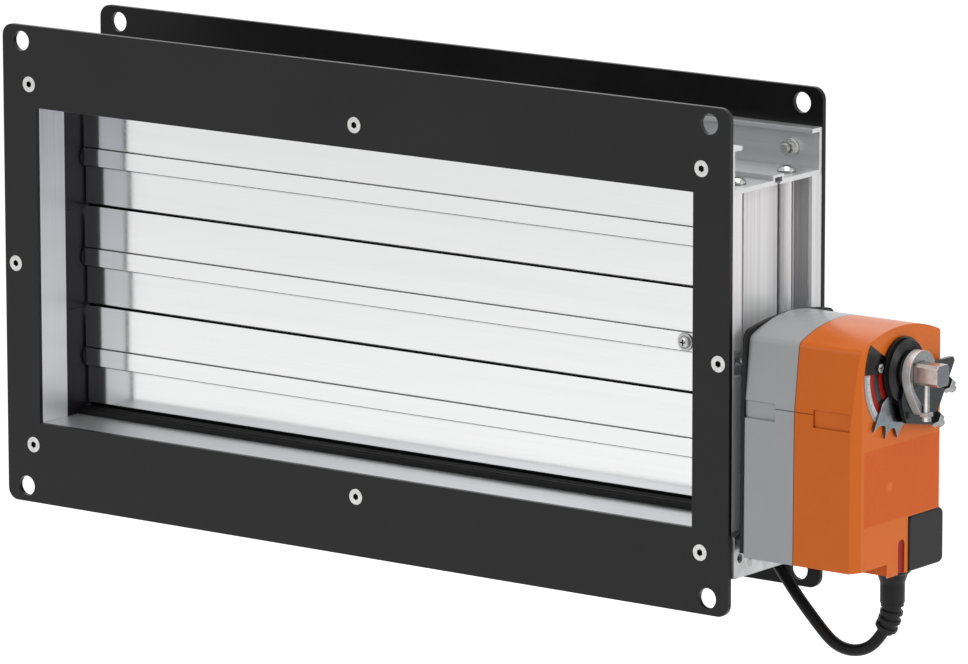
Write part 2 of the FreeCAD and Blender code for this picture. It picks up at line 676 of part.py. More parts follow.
def toothed_outline():
    """Involute wheel with a tooth pointing up, as a face in the YZ plane at X = 0."""
    module, teeth = float(D.gear_module), int(float(D.gear_teeth))
    pressure = math.radians(20)
    pitch = module * teeth / 2
    base = pitch * math.cos(pressure)
    tip = pitch + module
    root = pitch - 1.25 * module
    involute = math.tan(pressure) - pressure
    half_tooth = math.pi / (2 * teeth) - float(D.gear_backlash) / 2 / pitch

    def half_angle(radius):
        """Half of the tooth's width at a radius, as an angle."""
        if radius <= base:
            return half_tooth + involute
        roll = math.acos(base / radius)
        return half_tooth + involute - (math.tan(roll) - roll)

    def at(radius, angle):
        return Vector(0, radius * math.cos(angle), radius * math.sin(angle))

    edges = []
    middle = (base + tip) / 2
    for tooth in range(teeth):
        up = math.pi / 2 + 2 * math.pi * tooth / teeth
        following = up + 2 * math.pi / teeth
        foot, waist, crown = half_angle(root), half_angle(middle), half_angle(tip)
        edges.append(Part.LineSegment(at(root, up - foot), at(base, up - foot)).toShape())
        edges.append(Part.Arc(at(base, up - foot), at(middle, up - waist),
                              at(tip, up - crown)).toShape())
        edges.append(Part.LineSegment(at(tip, up - crown), at(tip, up + crown)).toShape())
        edges.append(Part.Arc(at(tip, up + crown), at(middle, up + waist),
                              at(base, up + foot)).toShape())
        edges.append(Part.LineSegment(at(base, up + foot), at(root, up + foot)).toShape())
        edges.append(Part.LineSegment(at(root, up + foot),
                                      at(root, following - foot)).toShape())
    return Part.Face(Part.Wire(edges))


def square_bar(size, start, end):
    half = float(size) / 2
    return Part.makeBox(end - start, 2 * half, 2 * half, Vector(start, -half, -half))


def round_bar(radius, start, end):
    return Part.makeCylinder(float(radius), end - start, Vector(start, 0, 0), Vector(1, 0, 0))


gear_start = float(half_wide + D.side_plate_thick + D.gear_end_gap)
gear_end = gear_start + float(D.gear_wide)
blade_stop = float(half_wide - D.blade_end_gap) + 0.1
wheel = toothed_outline().extrude(Vector(float(D.gear_wide), 0, 0))
wheel.translate(Vector(gear_start, 0, 0))
hub = round_bar(D.hub_radius, blade_stop, gear_start + 0.5)
spigot = square_bar(D.spigot_square, blade_stop - float(D.spigot_long), blade_stop + 0.5)
end_gear = wheel.fuse([hub, spigot]).removeSplitter()
shaft_slot = square_bar(float(D.spigot_square) + 0.2, blade_stop - 1, gear_end + 1)
middle_gear = wheel.fuse(hub).removeSplitter().cut(shaft_slot)
pin_slot = round_bar(float(D.idler_pin_radius) + float(D.bearing_gap), gear_start - 1,
                     gear_end + 1)
idler_gear = wheel.cut(pin_slot)
shape_node("gear_top", end_gear.copy(), 0, axis_y, D.blade_pitch)
shape_node("gear_middle", middle_gear, 0, axis_y, 0)
shape_node("gear_bottom", end_gear.copy(), 0, axis_y, -D.blade_pitch)
shape_node("idler_gear_upper", idler_gear.copy(), 0, axis_y, D.blade_pitch / 2)
shape_node("idler_gear_lower", idler_gear.copy(), 0, axis_y, -D.blade_pitch / 2)

idler_pin = new_body("idler_pin", is_node=False)
pad(idler_pin, "YZ", half_wide + D.side_plate_thick + 0.15, wall_out - 0.45,
    circle(0, 0, D.idler_pin_radius))
copies("idler_pins", idler_pin,
       [(0, axis_y, D.blade_pitch / 2, None), (0, axis_y, -D.blade_pitch / 2, None)])

bush = new_body("shaft_bush")
pad(bush, "YZ", half_wide + D.chamber_deep, wall_out + 0.1, circle(0, 0, D.bush_radius - 0.05),
    circle(0, 0, D.journal_radius + D.bearing_gap))
pad(bush, "YZ", wall_out + 0.05, wall_out + 1.6, circle(0, 0, D.bush_flange_radius),
    circle(0, 0, D.journal_radius + D.bearing_gap))
place(bush, 0, axis_y, 0)

# Drive shaft: square spigot in the blade, round journal, chamfered square outside
shaft = new_body("drive_shaft")
journal_start = half_wide + D.chamber_deep - 0.6
journal_end = wall_out + 4
shaft_end = frame_end + D.shaft_out
half_spigot = D.spigot_square / 2
half_shaft = D.shaft_square / 2
flat = half_shaft - D.shaft_chamfer
pad(shaft, "YZ", half_wide - D.shaft_spigot_long, journal_start,
    rectangle(-half_spigot, -half_spigot, half_spigot, half_spigot))
pad(shaft, "YZ", journal_start, journal_end, circle(0, 0, D.journal_radius))
pad(shaft, "YZ", journal_end, shaft_end,
    outline([(-half_shaft, -flat), (-flat, -half_shaft), (flat, -half_shaft),
             (half_shaft, -flat), (half_shaft, flat), (flat, half_shaft),
             (-flat, half_shaft), (-half_shaft, flat)]))
pocket(shaft, "XZ", -half_spigot - 1, half_spigot * 0.6,
       circle(half_wide - D.blade_screw_inset, 0, 1.9))
place(shaft, 0, axis_y, 0)

blade_screw = new_body("blade_screw")
revolve(blade_screw, "XZ", "V_Axis",
        outline([(0, 0.2), (0, -5.6), (1.8, -5.6), (1.8, 0), (4, 0), (4, 0.9), (3, 0.9),
                 (3, 1.8), (1.3, 2.8), (0, 2.8)], {7: 3}))
for wide, tall in ((1.7, 0.4), (0.4, 1.7)):
    pocket(blade_screw, "XY", 1.5, 3.2, rectangle(-wide, -tall, wide, tall))
place(blade_screw, half_wide - D.blade_screw_inset, axis_y - D.blade_boss_half - 0.05, 0,
      FACE_FRONT)

# Actuator, its bracket and what its clamp holds on the shaft

bracket_out = frame_end + D.bracket_thick
back_plate_out = bracket_out + D.back_plate_thick
split_x = back_plate_out + D.base_deep
front_x = split_x + D.cover_deep
body_y = axis_y + D.actuator_shift

bracket = new_body("actuator_bracket")
upright = D.bracket_upright_half
web_low = half_tall + D.web_thick
hole_out = D.frame_depth / 2 - D.bracket_hole_in
pad(bracket, "YZ", frame_end, bracket_out,
    outline([(frame_front + 0.1, 0.1 - frame_top), (frame_back - 0.1, 0.1 - frame_top),
             (frame_back - 0.1, -web_low), (axis_y + upright, 4 - web_low),
             (axis_y + upright, D.actuator_shoulder - 1),
             (axis_y - upright, D.actuator_shoulder - 1),
             (axis_y - upright, 4 - web_low), (frame_front + 0.1, -web_low)]),
    circle(axis_y, 0, D.bush_flange_radius + 0.5),
    *[circle(axis_y + sy * offset, -rim_z - 1.5, 2.2) for sy in (-1, 1)
      for offset in (hole_out, hole_out - D.bracket_hole_pitch)])
tab_low, tab_high = 2.5 - frame_top, -web_low - 1.5
for low, high in ((frame_front + D.flange_thick, frame_front + D.flange_thick + D.bracket_thick),
                  (frame_back - D.flange_thick - D.bracket_thick, frame_back - D.flange_thick)):
    pad(bracket, "XZ", low, high,
        rectangle(frame_end - D.bracket_tab_long, tab_low, frame_end + 1, tab_high),
        circle(rim_x, -rim_z, hole_radius))
fixing_y, fixing_low = D.actuator_mid_half - 17, D.actuator_bottom - D.fixing_lift
pocket(bracket, "YZ", frame_end - 1, bracket_out + 1,
       *[circle(axis_y + sy * fixing_y, 0 - fixing_low, 2.2) for sy in (-1, 1)],
       *[circle(axis_y + sy * fixing_y, -D.actuator_mid_drop, 2.2) for sy in (-1, 1)])


def housing_ring(rim, low):
    """The actuator's outline seen from its front: tapered sides under a domed top."""
    shoulder = D.actuator_shoulder + rim
    return outline([(body_y - D.actuator_low_half - rim, low),
                    (body_y + D.actuator_low_half + rim, low),
                    (body_y + D.actuator_mid_half + rim, -D.actuator_mid_drop),
                    (body_y + D.actuator_top_half + rim, shoulder),
                    (body_y - D.actuator_top_half - rim, shoulder),
                    (body_y - D.actuator_mid_half - rim, -D.actuator_mid_drop)],
                   {3: D.dome_radius + rim})


def round_long_edges(body, radius, low_z):
    """Round the housing's edges that run along X, above a height."""
    dress(body, "Fillet", radius,
          lambda edge: runs_along(edge, "x") and edge.CenterOfMass.z > low_z
          and abs(edge.CenterOfMass.y - float(body_y)) > float(D.actuator_top_half) - 1)


def fixing_holes(radius):
    return [circle(axis_y + sy * fixing_y, z, radius)
            for sy in (-1, 1) for z in (0 - fixing_low, -D.actuator_mid_drop)]


back_plate = new_body("actuator_back_plate")
rim = D.back_plate_rim
corner_z = D.actuator_shoulder + 2.6
corner_y = D.actuator_top_half + 2.6
pad(back_plate, "YZ", back_plate_out - D.rim_plate_thick, back_plate_out,
    outline([(body_y - D.actuator_low_half - rim, 2 - D.actuator_bottom),
             (body_y + D.actuator_low_half + rim, 2 - D.actuator_bottom),
             (body_y + D.actuator_mid_half + rim, -D.actuator_mid_drop),
             (body_y + corner_y, corner_z), (body_y - corner_y, corner_z),
             (body_y - D.actuator_mid_half - rim, -D.actuator_mid_drop)],
            {3: D.dome_radius * 2}),
    circle(axis_y, 0, D.sleeve_radius + 1.5), *fixing_holes(2.2))
round_long_edges(back_plate, 5, 0)
pad(back_plate, "YZ", bracket_out, back_plate_out - D.rim_plate_thick + 0.1,
    rectangle(axis_y - upright, D.spacer_inset - D.actuator_bottom,
              axis_y + upright, D.actuator_shoulder - 1),
    circle(axis_y, 0, D.sleeve_radius + 1.5), *fixing_holes(2.2))

base = new_body("actuator_base")
wall = D.shell_wall
pad(base, "YZ", back_plate_out, split_x, housing_ring(D.plate_thick * 0, -D.actuator_bottom))
round_long_edges(base, 3.5, 0)
pocket(base, "YZ", back_plate_out + wall, split_x + 1, housing_ring(-wall, wall - D.actuator_bottom))
pocket(base, "YZ", back_plate_out - 1, back_plate_out + wall + 1,
       circle(axis_y, 0, D.sleeve_radius + 0.5), *fixing_holes(1.75))
recess_top, recess_low = 4.3 - D.actuator_mid_drop, -D.actuator_mid_drop - 4.1


def side_cut(body, side, deep, left, low, right, high):
    """A shallow pocket in the actuator's left or right side, deep at its top edge."""
    lean = (D.actuator_mid_half - D.actuator_top_half) * 4.3
    drop = Size(float(lean) / float(D.actuator_shoulder + D.actuator_mid_drop),
                "(%s / %s)" % (lean.text, (D.actuator_shoulder + D.actuator_mid_drop).text))
    outer = body_y + side * (D.actuator_low_half + 9)
    inner = body_y + side * (D.actuator_mid_half - drop - deep)
    start, end = (outer, inner) if side < 0 else (inner, outer)
    pocket(body, "XZ", start, end, rectangle(left, low, right, high))


for side in (-1, 1):
    side_cut(base, side, 0.5, back_plate_out - 1, recess_low, back_plate_out + 17, recess_top)
    side_cut(base, side, 0.1, back_plate_out + 16.5, recess_top - 2.6, split_x + 1,
             recess_top - 2.1)

cover = new_body("actuator_cover")
foot_low = D.actuator_bottom + D.foot_drop
terminal_y = axis_y + D.terminal_left
terminal_x = front_x - D.terminal_deep
pad(cover, "YZ", split_x, front_x, housing_ring(D.plate_thick * 0, -D.actuator_bottom))
round_long_edges(cover, 3.5, 0)
for side in (-1, 1):
    edge_y = body_y + side * (D.actuator_mid_half + 1.5)
    inner_y = body_y + side * (D.actuator_mid_half - 5.2)
    corners = [(front_x - 3.7, edge_y), (front_x + 0.1, edge_y), (front_x + 0.1, inner_y)]
    pocket(cover, "XY", -D.actuator_bottom - 1, D.actuator_shoulder + 1, outline(corners))
pad(cover, "XZ", terminal_y - 21, terminal_y - 0.1,
    outline([(terminal_x, 1 - D.actuator_bottom), (terminal_x, -foot_low),
             (front_x, -foot_low), (front_x, 1 - D.actuator_bottom)]))
pocket(cover, "XY", -foot_low - 1, -D.actuator_bottom,
       outline([(terminal_x - 1, terminal_y - 22), (front_x + 1, terminal_y - 22),
                (front_x + 1, terminal_y - 19), (front_x - 3, terminal_y - 14),
                (terminal_x - 1, terminal_y - 14)]))
pocket(cover, "YZ", split_x - 1, front_x - wall, housing_ring(-wall, wall - D.actuator_bottom))
pocket(cover, "YZ", front_x - wall - 1, front_x + 1,
       circle(axis_y, 0, D.sleeve_radius + 0.5))
pocket(cover, "YZ", terminal_x, front_x + 1,
       rectangle(terminal_y - 0.1, -foot_low - 1, terminal_y + D.terminal_wide + 0.1,
                 D.terminal_tall - foot_low + 0.1))
insert_y = axis_y - D.insert_left
insert_top = D.insert_tall - foot_low
pocket(cover, "YZ", front_x - 6, front_x + 1,
       outline([(insert_y, -foot_low - 1), (insert_y + D.insert_wide, -foot_low - 1),
                (insert_y + D.insert_wide, insert_top), (insert_y, insert_top)],
               {2: D.insert_wide / 2 + 0.01}))
for side in (-1, 1):
    side_cut(cover, side, 0.5, split_x + 10.5, recess_low, front_x - 3.8, recess_top)

terminal = new_body("terminal_cover")
pad(terminal, "YZ", terminal_x + 0.1, front_x + D.terminal_proud,
    rectangle(terminal_y, -foot_low, terminal_y + D.terminal_wide, D.terminal_tall - foot_low))
dress(terminal, "Fillet", 3,
      lambda edge: runs_along(edge, "x") and not (
          edge.CenterOfMass.z < -float(foot_low) + 1
          and edge.CenterOfMass.y < float(terminal_y) + 1))
dress(terminal, "Chamfer", 0.6,
      lambda edge: abs(edge.BoundBox.XMin - float(front_x + D.terminal_proud)) < 0.01)

insert = new_body("slot_insert")
pad(insert, "YZ", front_x - 5.8, front_x - 0.6,
    outline([(insert_y + 0.15, -foot_low + 0.4),
             (insert_y + D.insert_wide - 0.15, -foot_low + 0.4),
             (insert_y + D.insert_wide - 0.15, insert_top), (insert_y + 0.15, insert_top)],
            {2: D.insert_wide / 2 - 0.14}))

fixing = new_body("fixing_screw", is_node=False)
revolve(fixing, "XZ", "V_Axis",
        outline([(0, D.fixing_head_tall), (0, -D.fixing_long), (D.fixing_radius, -D.fixing_long),
                 (D.fixing_radius, 0), (D.fixing_head_radius, 0),
                 (D.fixing_head_radius, D.fixing_head_tall - 1),
                 (D.fixing_head_radius - 1.2, D.fixing_head_tall)],
                {5: D.fixing_head_crown}))
copies("actuator_fixing_screws", fixing,
       [(frame_end - 0.05, axis_y + sy * fixing_y, z, Rotation(Vector(0, 1, 0), -90))
        for sy in (-1, 1) for z in (0 - fixing_low, -D.actuator_mid_drop)])

# Inside the actuator: motor, return spring and circuit board on the base's floor
floor = back_plate_out + wall + D.floor_gap
motor_out = floor + D.motor_long
motor = new_body("actuator_motor")
pad(motor, "YZ", floor, motor_out,
    circle(body_y - D.motor_side, -D.motor_drop, D.motor_radius))
pad(motor, "YZ", motor_out - 0.5, motor_out + D.motor_hub_long,
    circle(body_y - D.motor_side, -D.motor_drop, D.motor_hub_radius))
spring = new_body("return_spring")
pad(spring, "YZ", floor, floor + D.spring_long,
    circle(axis_y, 0, D.spring_radius), circle(axis_y, 0, D.spring_bore))
board = new_body("circuit_board")
board_y = body_y + D.board_side
board_z = D.board_lift - D.actuator_bottom
board_out = floor + D.board_thick
plug_y = board_y + D.board_plug_in
plug_z = board_z + D.board_plug_lift
pad(board, "YZ", floor + 0.05, board_out,
    rectangle(board_y, board_z, board_y + D.board_wide, board_z + D.board_tall))
pad(board, "YZ", board_out - 0.1, board_out + D.board_plug_deep,
    rectangle(plug_y, plug_z, plug_y + D.board_plug_wide, plug_z + D.board_plug_tall))

sleeve = new_body("clamp_sleeve")
ring_x = front_x + D.clamp_gap
ring_out = ring_x + D.hub_ring_thick
disc_out = ring_out + D.hub_disc_thick
plate_out = disc_out + D.clamp_plate_thick
jaw_out = plate_out + D.jaw_thick
pad(sleeve, "YZ", bracket_out + 1, plate_out - 0.2,
    circle(0, 0, D.sleeve_radius), circle(0, 0, D.sleeve_bore))
pad(sleeve, "YZ", ring_x, ring_out,
    circle(0, 0, D.hub_ring_radius), circle(0, 0, D.sleeve_bore))
pad(sleeve, "YZ", ring_out - 0.2, disc_out,
    circle(0, 0, D.hub_disc_radius), circle(0, 0, D.sleeve_bore))
place(sleeve, 0, axis_y, 0)

unit = D.clamp_reach / 38.5


def grown(corners):
    """Corners of a clamp piece, drawn for a reach of 38.5 and scaled to the named one."""
    return [(unit * y, unit * z) for y, z in corners]


def on_circle(radius, degrees):
    """A point at an angle from +Y towards +Z."""
    return radius * math.cos(math.radians(degrees)), radius * math.sin(math.radians(degrees))


# The dark plate hooks round the sleeve from below and ends in a wing with two studs
clamp_plate = new_body("clamp_plate")
wing_top, wing_low = (36.8, -0.6), (19, -28.5)
hook = D.sleeve_radius + 0.1
pad(clamp_plate, "YZ", disc_out + 0.05, plate_out,
    outline([on_circle(hook, -128)] + grown([(-7, -13.5), (-2.8, -24.2), wing_low, wing_top,
                                             (35.8, 1.4), (13, 1.9)]) + [on_circle(hook, 12)],
            {0: unit * 14, 1: unit * 30, 7: -hook}))
place(clamp_plate, 0, axis_y, 0)

# The jaw grips the shaft from above and from the left and ends in a foot for its screw
jaw = new_body("clamp_jaw")
window = half_shaft + 0.12
pad(jaw, "YZ", plate_out + 0.1, jaw_out,
    outline(grown([(8.6, -20.6), (7.8, -17.6), (4.4, -16.9), (-0.4, -12.2)])
            + [(-window + 0.6, -window - 1.5), (-window, -window), (-window, window),
               (window, window), (window, -window)]
            + grown([(9.4, -5.1), (12.6, -2), (13.4, 2), (9.6, 7.8), (4.4, 9.9), (-3, 8.3),
                     (-7.3, 3), (-7.7, -3), (-4, -11.8), (2.6, -20.6)]),
            {2: unit * -30, 3: unit * -30, 10: unit * 8, 11: unit * 10, 12: unit * 11,
             13: unit * 11, 14: unit * 9, 15: unit * 12, 16: unit * 30, 17: unit * 40}))
foot_z = unit * -19.4
pad(jaw, "YZ", jaw_out - 0.5, jaw_out + 3.6,
    rectangle(unit * 1.7, foot_z - 1.8, unit * 6.6, foot_z))
place(jaw, 0, axis_y, 0)

clamp_screw = new_body("clamp_screw")
screw_radius = D.clamp_screw_radius
screw_x = jaw_out + screw_radius + 0.2
pad(clamp_screw, "XY", foot_z, -half_shaft - 0.05, circle(screw_x, flat + 0.4, screw_radius))
pad(clamp_screw, "XY", foot_z - 4, foot_z - 1.85, circle(screw_x, flat + 0.4, 2.2))
place(clamp_screw, 0, axis_y, 0)

clamp_nut = new_body("clamp_nut", is_node=False)
pad(clamp_nut, "XY", 0, 3.4, polygon(0, 0, D.clamp_nut_across))
pad(clamp_nut, "XY", 3, 7.5, circle(0, 0, 2))
edge_out = Vector(0, wing_top[1] - wing_low[1], wing_low[0] - wing_top[0]).normalize()
nut_turn = Rotation(Vector(0, 0, 1), edge_out)
nut_places = []
for share in (0.35, 0.88):
    nut_y = unit * (wing_top[0] + share * (wing_low[0] - wing_top[0])) + 0.05 * edge_out.y
    nut_z = unit * (wing_top[1] + share * (wing_low[1] - wing_top[1])) + 0.05 * edge_out.z
    nut_places.append((plate_out - D.clamp_plate_thick / 2, axis_y + nut_y, nut_z, nut_turn))
copies("clamp_nuts", clamp_nut, nut_places)


def sector_ring(inner, outer, start, finish):
    """Part of a flat ring between two angles from +Y towards +Z."""
    first, last = math.radians(start), math.radians(finish)
    return outline([(outer * math.cos(first), outer * math.sin(first)),
                    (outer * math.cos(last), outer * math.sin(last)),
                    (inner * math.cos(last), inner * math.sin(last)),
                    (inner * math.cos(first), inner * math.sin(first))],
                   {0: outer, 2: -inner})


# Fixed parts round the hub on the cover's front: scale, end stops
scale = new_body("angle_scale")
pad(scale, "YZ", front_x, front_x + D.scale_thick,
    sector_ring(D.scale_inner, D.scale_outer, 176.5, 232))
place(scale, 0, axis_y, 0)

stop_fan = new_body("stop_fan")
pad(stop_fan, "YZ", front_x, front_x + D.scale_thick,
    sector_ring(D.sleeve_radius + 1.4, D.scale_outer - 0.5, 148, 175.5))
pad(stop_fan, "YZ", front_x, front_x + D.scale_thick,
    sector_ring(D.scale_inner - 7, D.scale_inner - 3.5, 170, 223.5))
place(stop_fan, 0, axis_y, 0)

stop_screw = new_body("stop_screw")
screw_face = front_x + D.scale_thick
pad(stop_screw, "YZ", screw_face, screw_face + 1.1, circle(-18.2, 3.9, 2.1))
pocket(stop_screw, "YZ", screw_face + 0.5, screw_face + 2,
       rectangle(-19.6, 3.6, -16.8, 4.2), rectangle(-18.5, 2.5, -17.9, 3.6))
place(stop_screw, 0, axis_y, 0)

stop_sector = new_body("stop_sector")
sector_in = D.hub_ring_radius + 0.4
pad(stop_sector, "YZ", front_x, front_x + D.scale_thick + 0.2,
    sector_ring(sector_in, D.scale_inner - 0.2, 224, 284))
pad(stop_sector, "YZ", front_x + D.scale_thick + 0.05, front_x + D.scale_thick + 1.4,
    outline([on_circle(sector_in, -141), (-17.5, -13), (-19.6, -17.5), (-24.5, -25.3),
             (-17.6, -23.2), (-14.6, -24), (-14.9, -29.9), (-10.8, -26), (-7, -26),
             (-4.8, -31), (-1, -26.2), (2.6, -24.6), on_circle(sector_in, -82)],
            {1: -30, 3: -9, 4: -9, 5: -14, 6: -9, 7: -9, 8: -12, 9: -12, 12: -sector_in}))
place(stop_sector, 0, axis_y, 0)

# Strain relief and its bent, ribbed boot
relief_x = front_x - D.relief_inset
relief_y = axis_y + D.relief_side
relief_top = -foot_low - 0.05
cable_bore = D.cable_radius + 0.1
relief = new_body("strain_relief")
top_radius, neck = D.relief_top_radius, D.relief_neck_radius
revolve(relief, "XZ", "V_Axis",
        outline([(cable_bore, 0), (cable_bore, -D.relief_long), (neck, -D.relief_long),
                 (neck, -D.relief_long * 0.42), (top_radius - 1.2, -2.6), (top_radius, -1.6),
                 (top_radius, 0)]))
place(relief, relief_x, relief_y, relief_top)

boot_tube = new_body("boot_tube", is_node=False)
bend = D.boot_bend_radius
tube_sketch = sketch_on(boot_tube, "XY", 0, [circle(0, 0, D.boot_radius),
                                             circle(0, 0, cable_bore)])
tube = boot_tube.newObject("PartDesign::Revolution", "boot_tube_bend")
tube.Profile = tube_sketch
hinge = tube_sketch.addGeometry(Part.LineSegment(Vector(-25, -20, 0), Vector(-25, 20, 0)), True)
hold(tube_sketch, hinge, 1, "X", -bend)
hold(tube_sketch, hinge, 2, "X", -bend)
tube.ReferenceAxis = (tube_sketch, ["Axis0"])
bind(tube, "Angle", D.boot_turn)
doc.recompute()
if boot_tube.Shape.BoundBox.ZMax > 1:
    tube.Reversed = True

boot_rib = new_body("boot_rib", is_node=False)
pad(boot_rib, "XY", -D.boot_rib_thick, D.boot_rib_thick * 0,
    circle(0, 0, D.boot_rib_radius), circle(0, 0, D.boot_radius - 0.4))
boot_top = relief_top - D.relief_long - 0.05
boot_links = [place(doc.addObject("App::Link", "boot_tube_link"), relief_x, relief_y, boot_top)]
boot_links[0].LinkedObject = boot_tube
for number in range(4):
    angle = number * float(D.boot_rib_pitch)
    turned = math.radians(angle)
    link = doc.addObject("App::Link", "boot_rib_link_%d" % number)
    link.LinkedObject = boot_rib
    place(link, relief_x - bend * (1 - math.cos(turned)), relief_y,
          boot_top - bend * math.sin(turned), Rotation(Vector(0, 1, 0), angle))
    boot_links.append(link)
boot = doc.addObject("Part::MultiFuse", "cable_boot")
boot.Label = "cable_boot"
boot.Shapes = boot_links
NODES.append(boot)


# The cable leaves the boot, dips, and rises into the bottom profile's channel

def cord_wire(points, diameter):
    """Straight runs joined by the largest tangent arcs that the runs allow."""
    edges, start = [], points[0]
    for before, corner, after in zip(points, points[1:], points[2:]):
        run_in, run_out = (corner - before), (after - corner)
        shorter = min(run_in.Length, run_out.Length)
        half_turn = run_in.getAngle(run_out) / 2
        cut = 0.45 * shorter
        radius = cut / math.tan(half_turn)
        into = corner - run_in.normalize() * cut
        out = corner + run_out.normalize() * cut
        toward = ((into + out) / 2 - corner).normalize()
        centre_far = radius / math.cos(half_turn)
        middle = corner + toward * (centre_far - radius)
        edges.append(Part.LineSegment(start, into).toShape())
        edges.append(Part.Arc(into, middle, out).toShape())
        start = out
        print("cord radius %.1f mm, %.1f diameters" % (radius, radius / diameter))
    edges.append(Part.LineSegment(start, points[-1]).toShape())
    return Part.Wire(edges)


cable_diameter = 2 * float(D.cable_radius)
turn = math.radians(float(D.boot_turn))
exit_point = Vector(float(relief_x) - float(bend) * (1 - math.cos(turn)), float(relief_y),
                    float(boot_top) - float(bend) * math.sin(turn) - 0.05)
cable_points = [exit_point] + [Vector(*point) for point in (
    (271, 50.2, -135.1), (263.8, 50.1, -139.7), (255.2, 50, -141), (246.3, 49.9, -138.4),
    (235.8, 49.8, -128.4), (224.4, 50.4, -117.2), (213.2, 53.6, -107), (202.2, 59.6, -99.8),
    (190.6, 66.8, -97.5), (179.2, 70.3, -97.4))]
cable_path = cord_wire(cable_points, cable_diameter)
leaving = cable_points[1] - cable_points[0]
cable_section = Part.Wire(Part.makeCircle(float(D.cable_radius), exit_point, leaving))
cable_shape = cable_path.makePipeShell([cable_section], True, False)
section_area = math.pi * float(D.cable_radius) ** 2
print("cable run %.1f mm, volume over section times length %.4f" % (
    cable_path.Length, cable_shape.Volume / section_area / cable_path.Length))
shape_node("actuator_cable", cable_shape)

hank = new_body("cable_hank")
hank_low = 0.1 + D.lip_thick - frame_top
hank_high = hank_low + D.cable_radius * 2
half_run = D.hank_run / 2


def racetrack(radius):
    return outline([(D.hank_centre - half_run, axis_y - radius),
                    (D.hank_centre + half_run, axis_y - radius),
                    (D.hank_centre + half_run + radius, axis_y),
                    (D.hank_centre + half_run, axis_y + radius),
                    (D.hank_centre - half_run, axis_y + radius),
                    (D.hank_centre - half_run - radius, axis_y)],
                   {1: radius, 2: radius, 4: radius, 5: radius})


pad(hank, "XY", hank_low, hank_high, racetrack(D.hank_turn_radius + D.cable_radius * 2),
    racetrack(D.hank_turn_radius - D.cable_radius * 2))
dress(hank, "Fillet", D.cable_radius * 0.9, lambda edge: not runs_along(edge, "z"))

tie = new_body("cable_tie", is_node=False)
tie_in = D.cable_radius + 0.25
tie_out = tie_in + D.tie_thick
tie_reach = D.cable_radius
pad(tie, "XZ", -D.tie_wide / 2, D.tie_wide / 2,
    rectangle(-tie_out - tie_reach, -tie_out, tie_out + tie_reach, tie_out),
    rectangle(-tie_in - tie_reach, -tie_in, tie_in + tie_reach, tie_in))
pad(tie, "XZ", -D.tie_wide / 2 - 0.6, D.tie_wide / 2 + 0.6,
    rectangle(-3, tie_out - 0.1, 3, tie_out + 3.2))
hank_middle = hank_low + D.cable_radius
tie_x = half_run + D.hank_turn_radius
copies("cable_ties", tie, [(D.hank_centre + sx * tie_x, axis_y, hank_middle,
                            None if sx > 0 else Rotation(Vector(0, 0, 1), 180))
                           for sx in (-1, 1)])

# Everything is sound before it is written out
doc.recompute()
for item in doc.Objects:
    if "Invalid" in item.State or "Touched" in item.State:
        raise RuntimeError("%s is %s" % (item.Label, item.State))
for cut in CUTS:
    before = cut.BaseFeature.Shape.Volume
    if before - cut.Shape.Volume < 0.01:
        raise RuntimeError("%s takes nothing away" % cut.Label)
os.makedirs("parts", exist_ok=True)
for node in NODES:
    shape = node.Shape
    if shape.isNull() or not shape.isValid() or shape.Volume <= 0:
        raise RuntimeError("%s has no sound shape" % node.Label)
    shape.exportStep("parts/%s.step" % node.Label)
print("%d nodes" % len(NODES))
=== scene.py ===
"""Multi-blade damper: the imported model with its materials, cable and small details.

Everything is in metres, in the frame of the CAD model.
"""

import json
import math

import bmesh
import bpy
from mathutils import Matrix, Vector


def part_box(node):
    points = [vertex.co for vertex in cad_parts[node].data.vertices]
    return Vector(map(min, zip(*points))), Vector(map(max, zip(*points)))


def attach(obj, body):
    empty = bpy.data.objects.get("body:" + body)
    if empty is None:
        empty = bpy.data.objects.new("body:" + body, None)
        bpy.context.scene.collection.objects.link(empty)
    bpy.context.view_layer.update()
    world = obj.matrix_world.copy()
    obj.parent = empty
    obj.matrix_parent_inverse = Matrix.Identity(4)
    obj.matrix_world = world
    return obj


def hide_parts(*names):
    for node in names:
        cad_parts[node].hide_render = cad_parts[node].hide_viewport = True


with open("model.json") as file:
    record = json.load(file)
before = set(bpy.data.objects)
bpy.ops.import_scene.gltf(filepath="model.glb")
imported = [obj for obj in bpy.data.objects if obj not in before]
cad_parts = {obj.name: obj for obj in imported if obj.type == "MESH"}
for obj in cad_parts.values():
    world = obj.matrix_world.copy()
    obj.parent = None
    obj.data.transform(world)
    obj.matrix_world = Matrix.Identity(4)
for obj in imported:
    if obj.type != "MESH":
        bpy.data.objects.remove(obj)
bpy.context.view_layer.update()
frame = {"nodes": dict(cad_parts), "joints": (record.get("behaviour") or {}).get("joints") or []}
NODES = frame["nodes"]

# Places that the frame gives: the blades' plane and the actuator cover's two ends

AXIS_Y = next(joint["pos_m"][1] for joint in frame["joints"] if joint["name"] == "drive_turn")
SEAM_X, FRONT_X = (corner.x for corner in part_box("actuator_cover"))


# Camera, from the fit of the flange plates' corners in the photograph

PICTURE_WIDTH = 968
FOCAL_PIXELS = 7547.96
SENSOR_WIDTH = 36
CAMERA_PLACE = (2.19865, -2.82588, 0.69773)
YAW, PITCH, ROLL = (math.radians(a) for a in (36.8836, 11.1824, 0.0831))


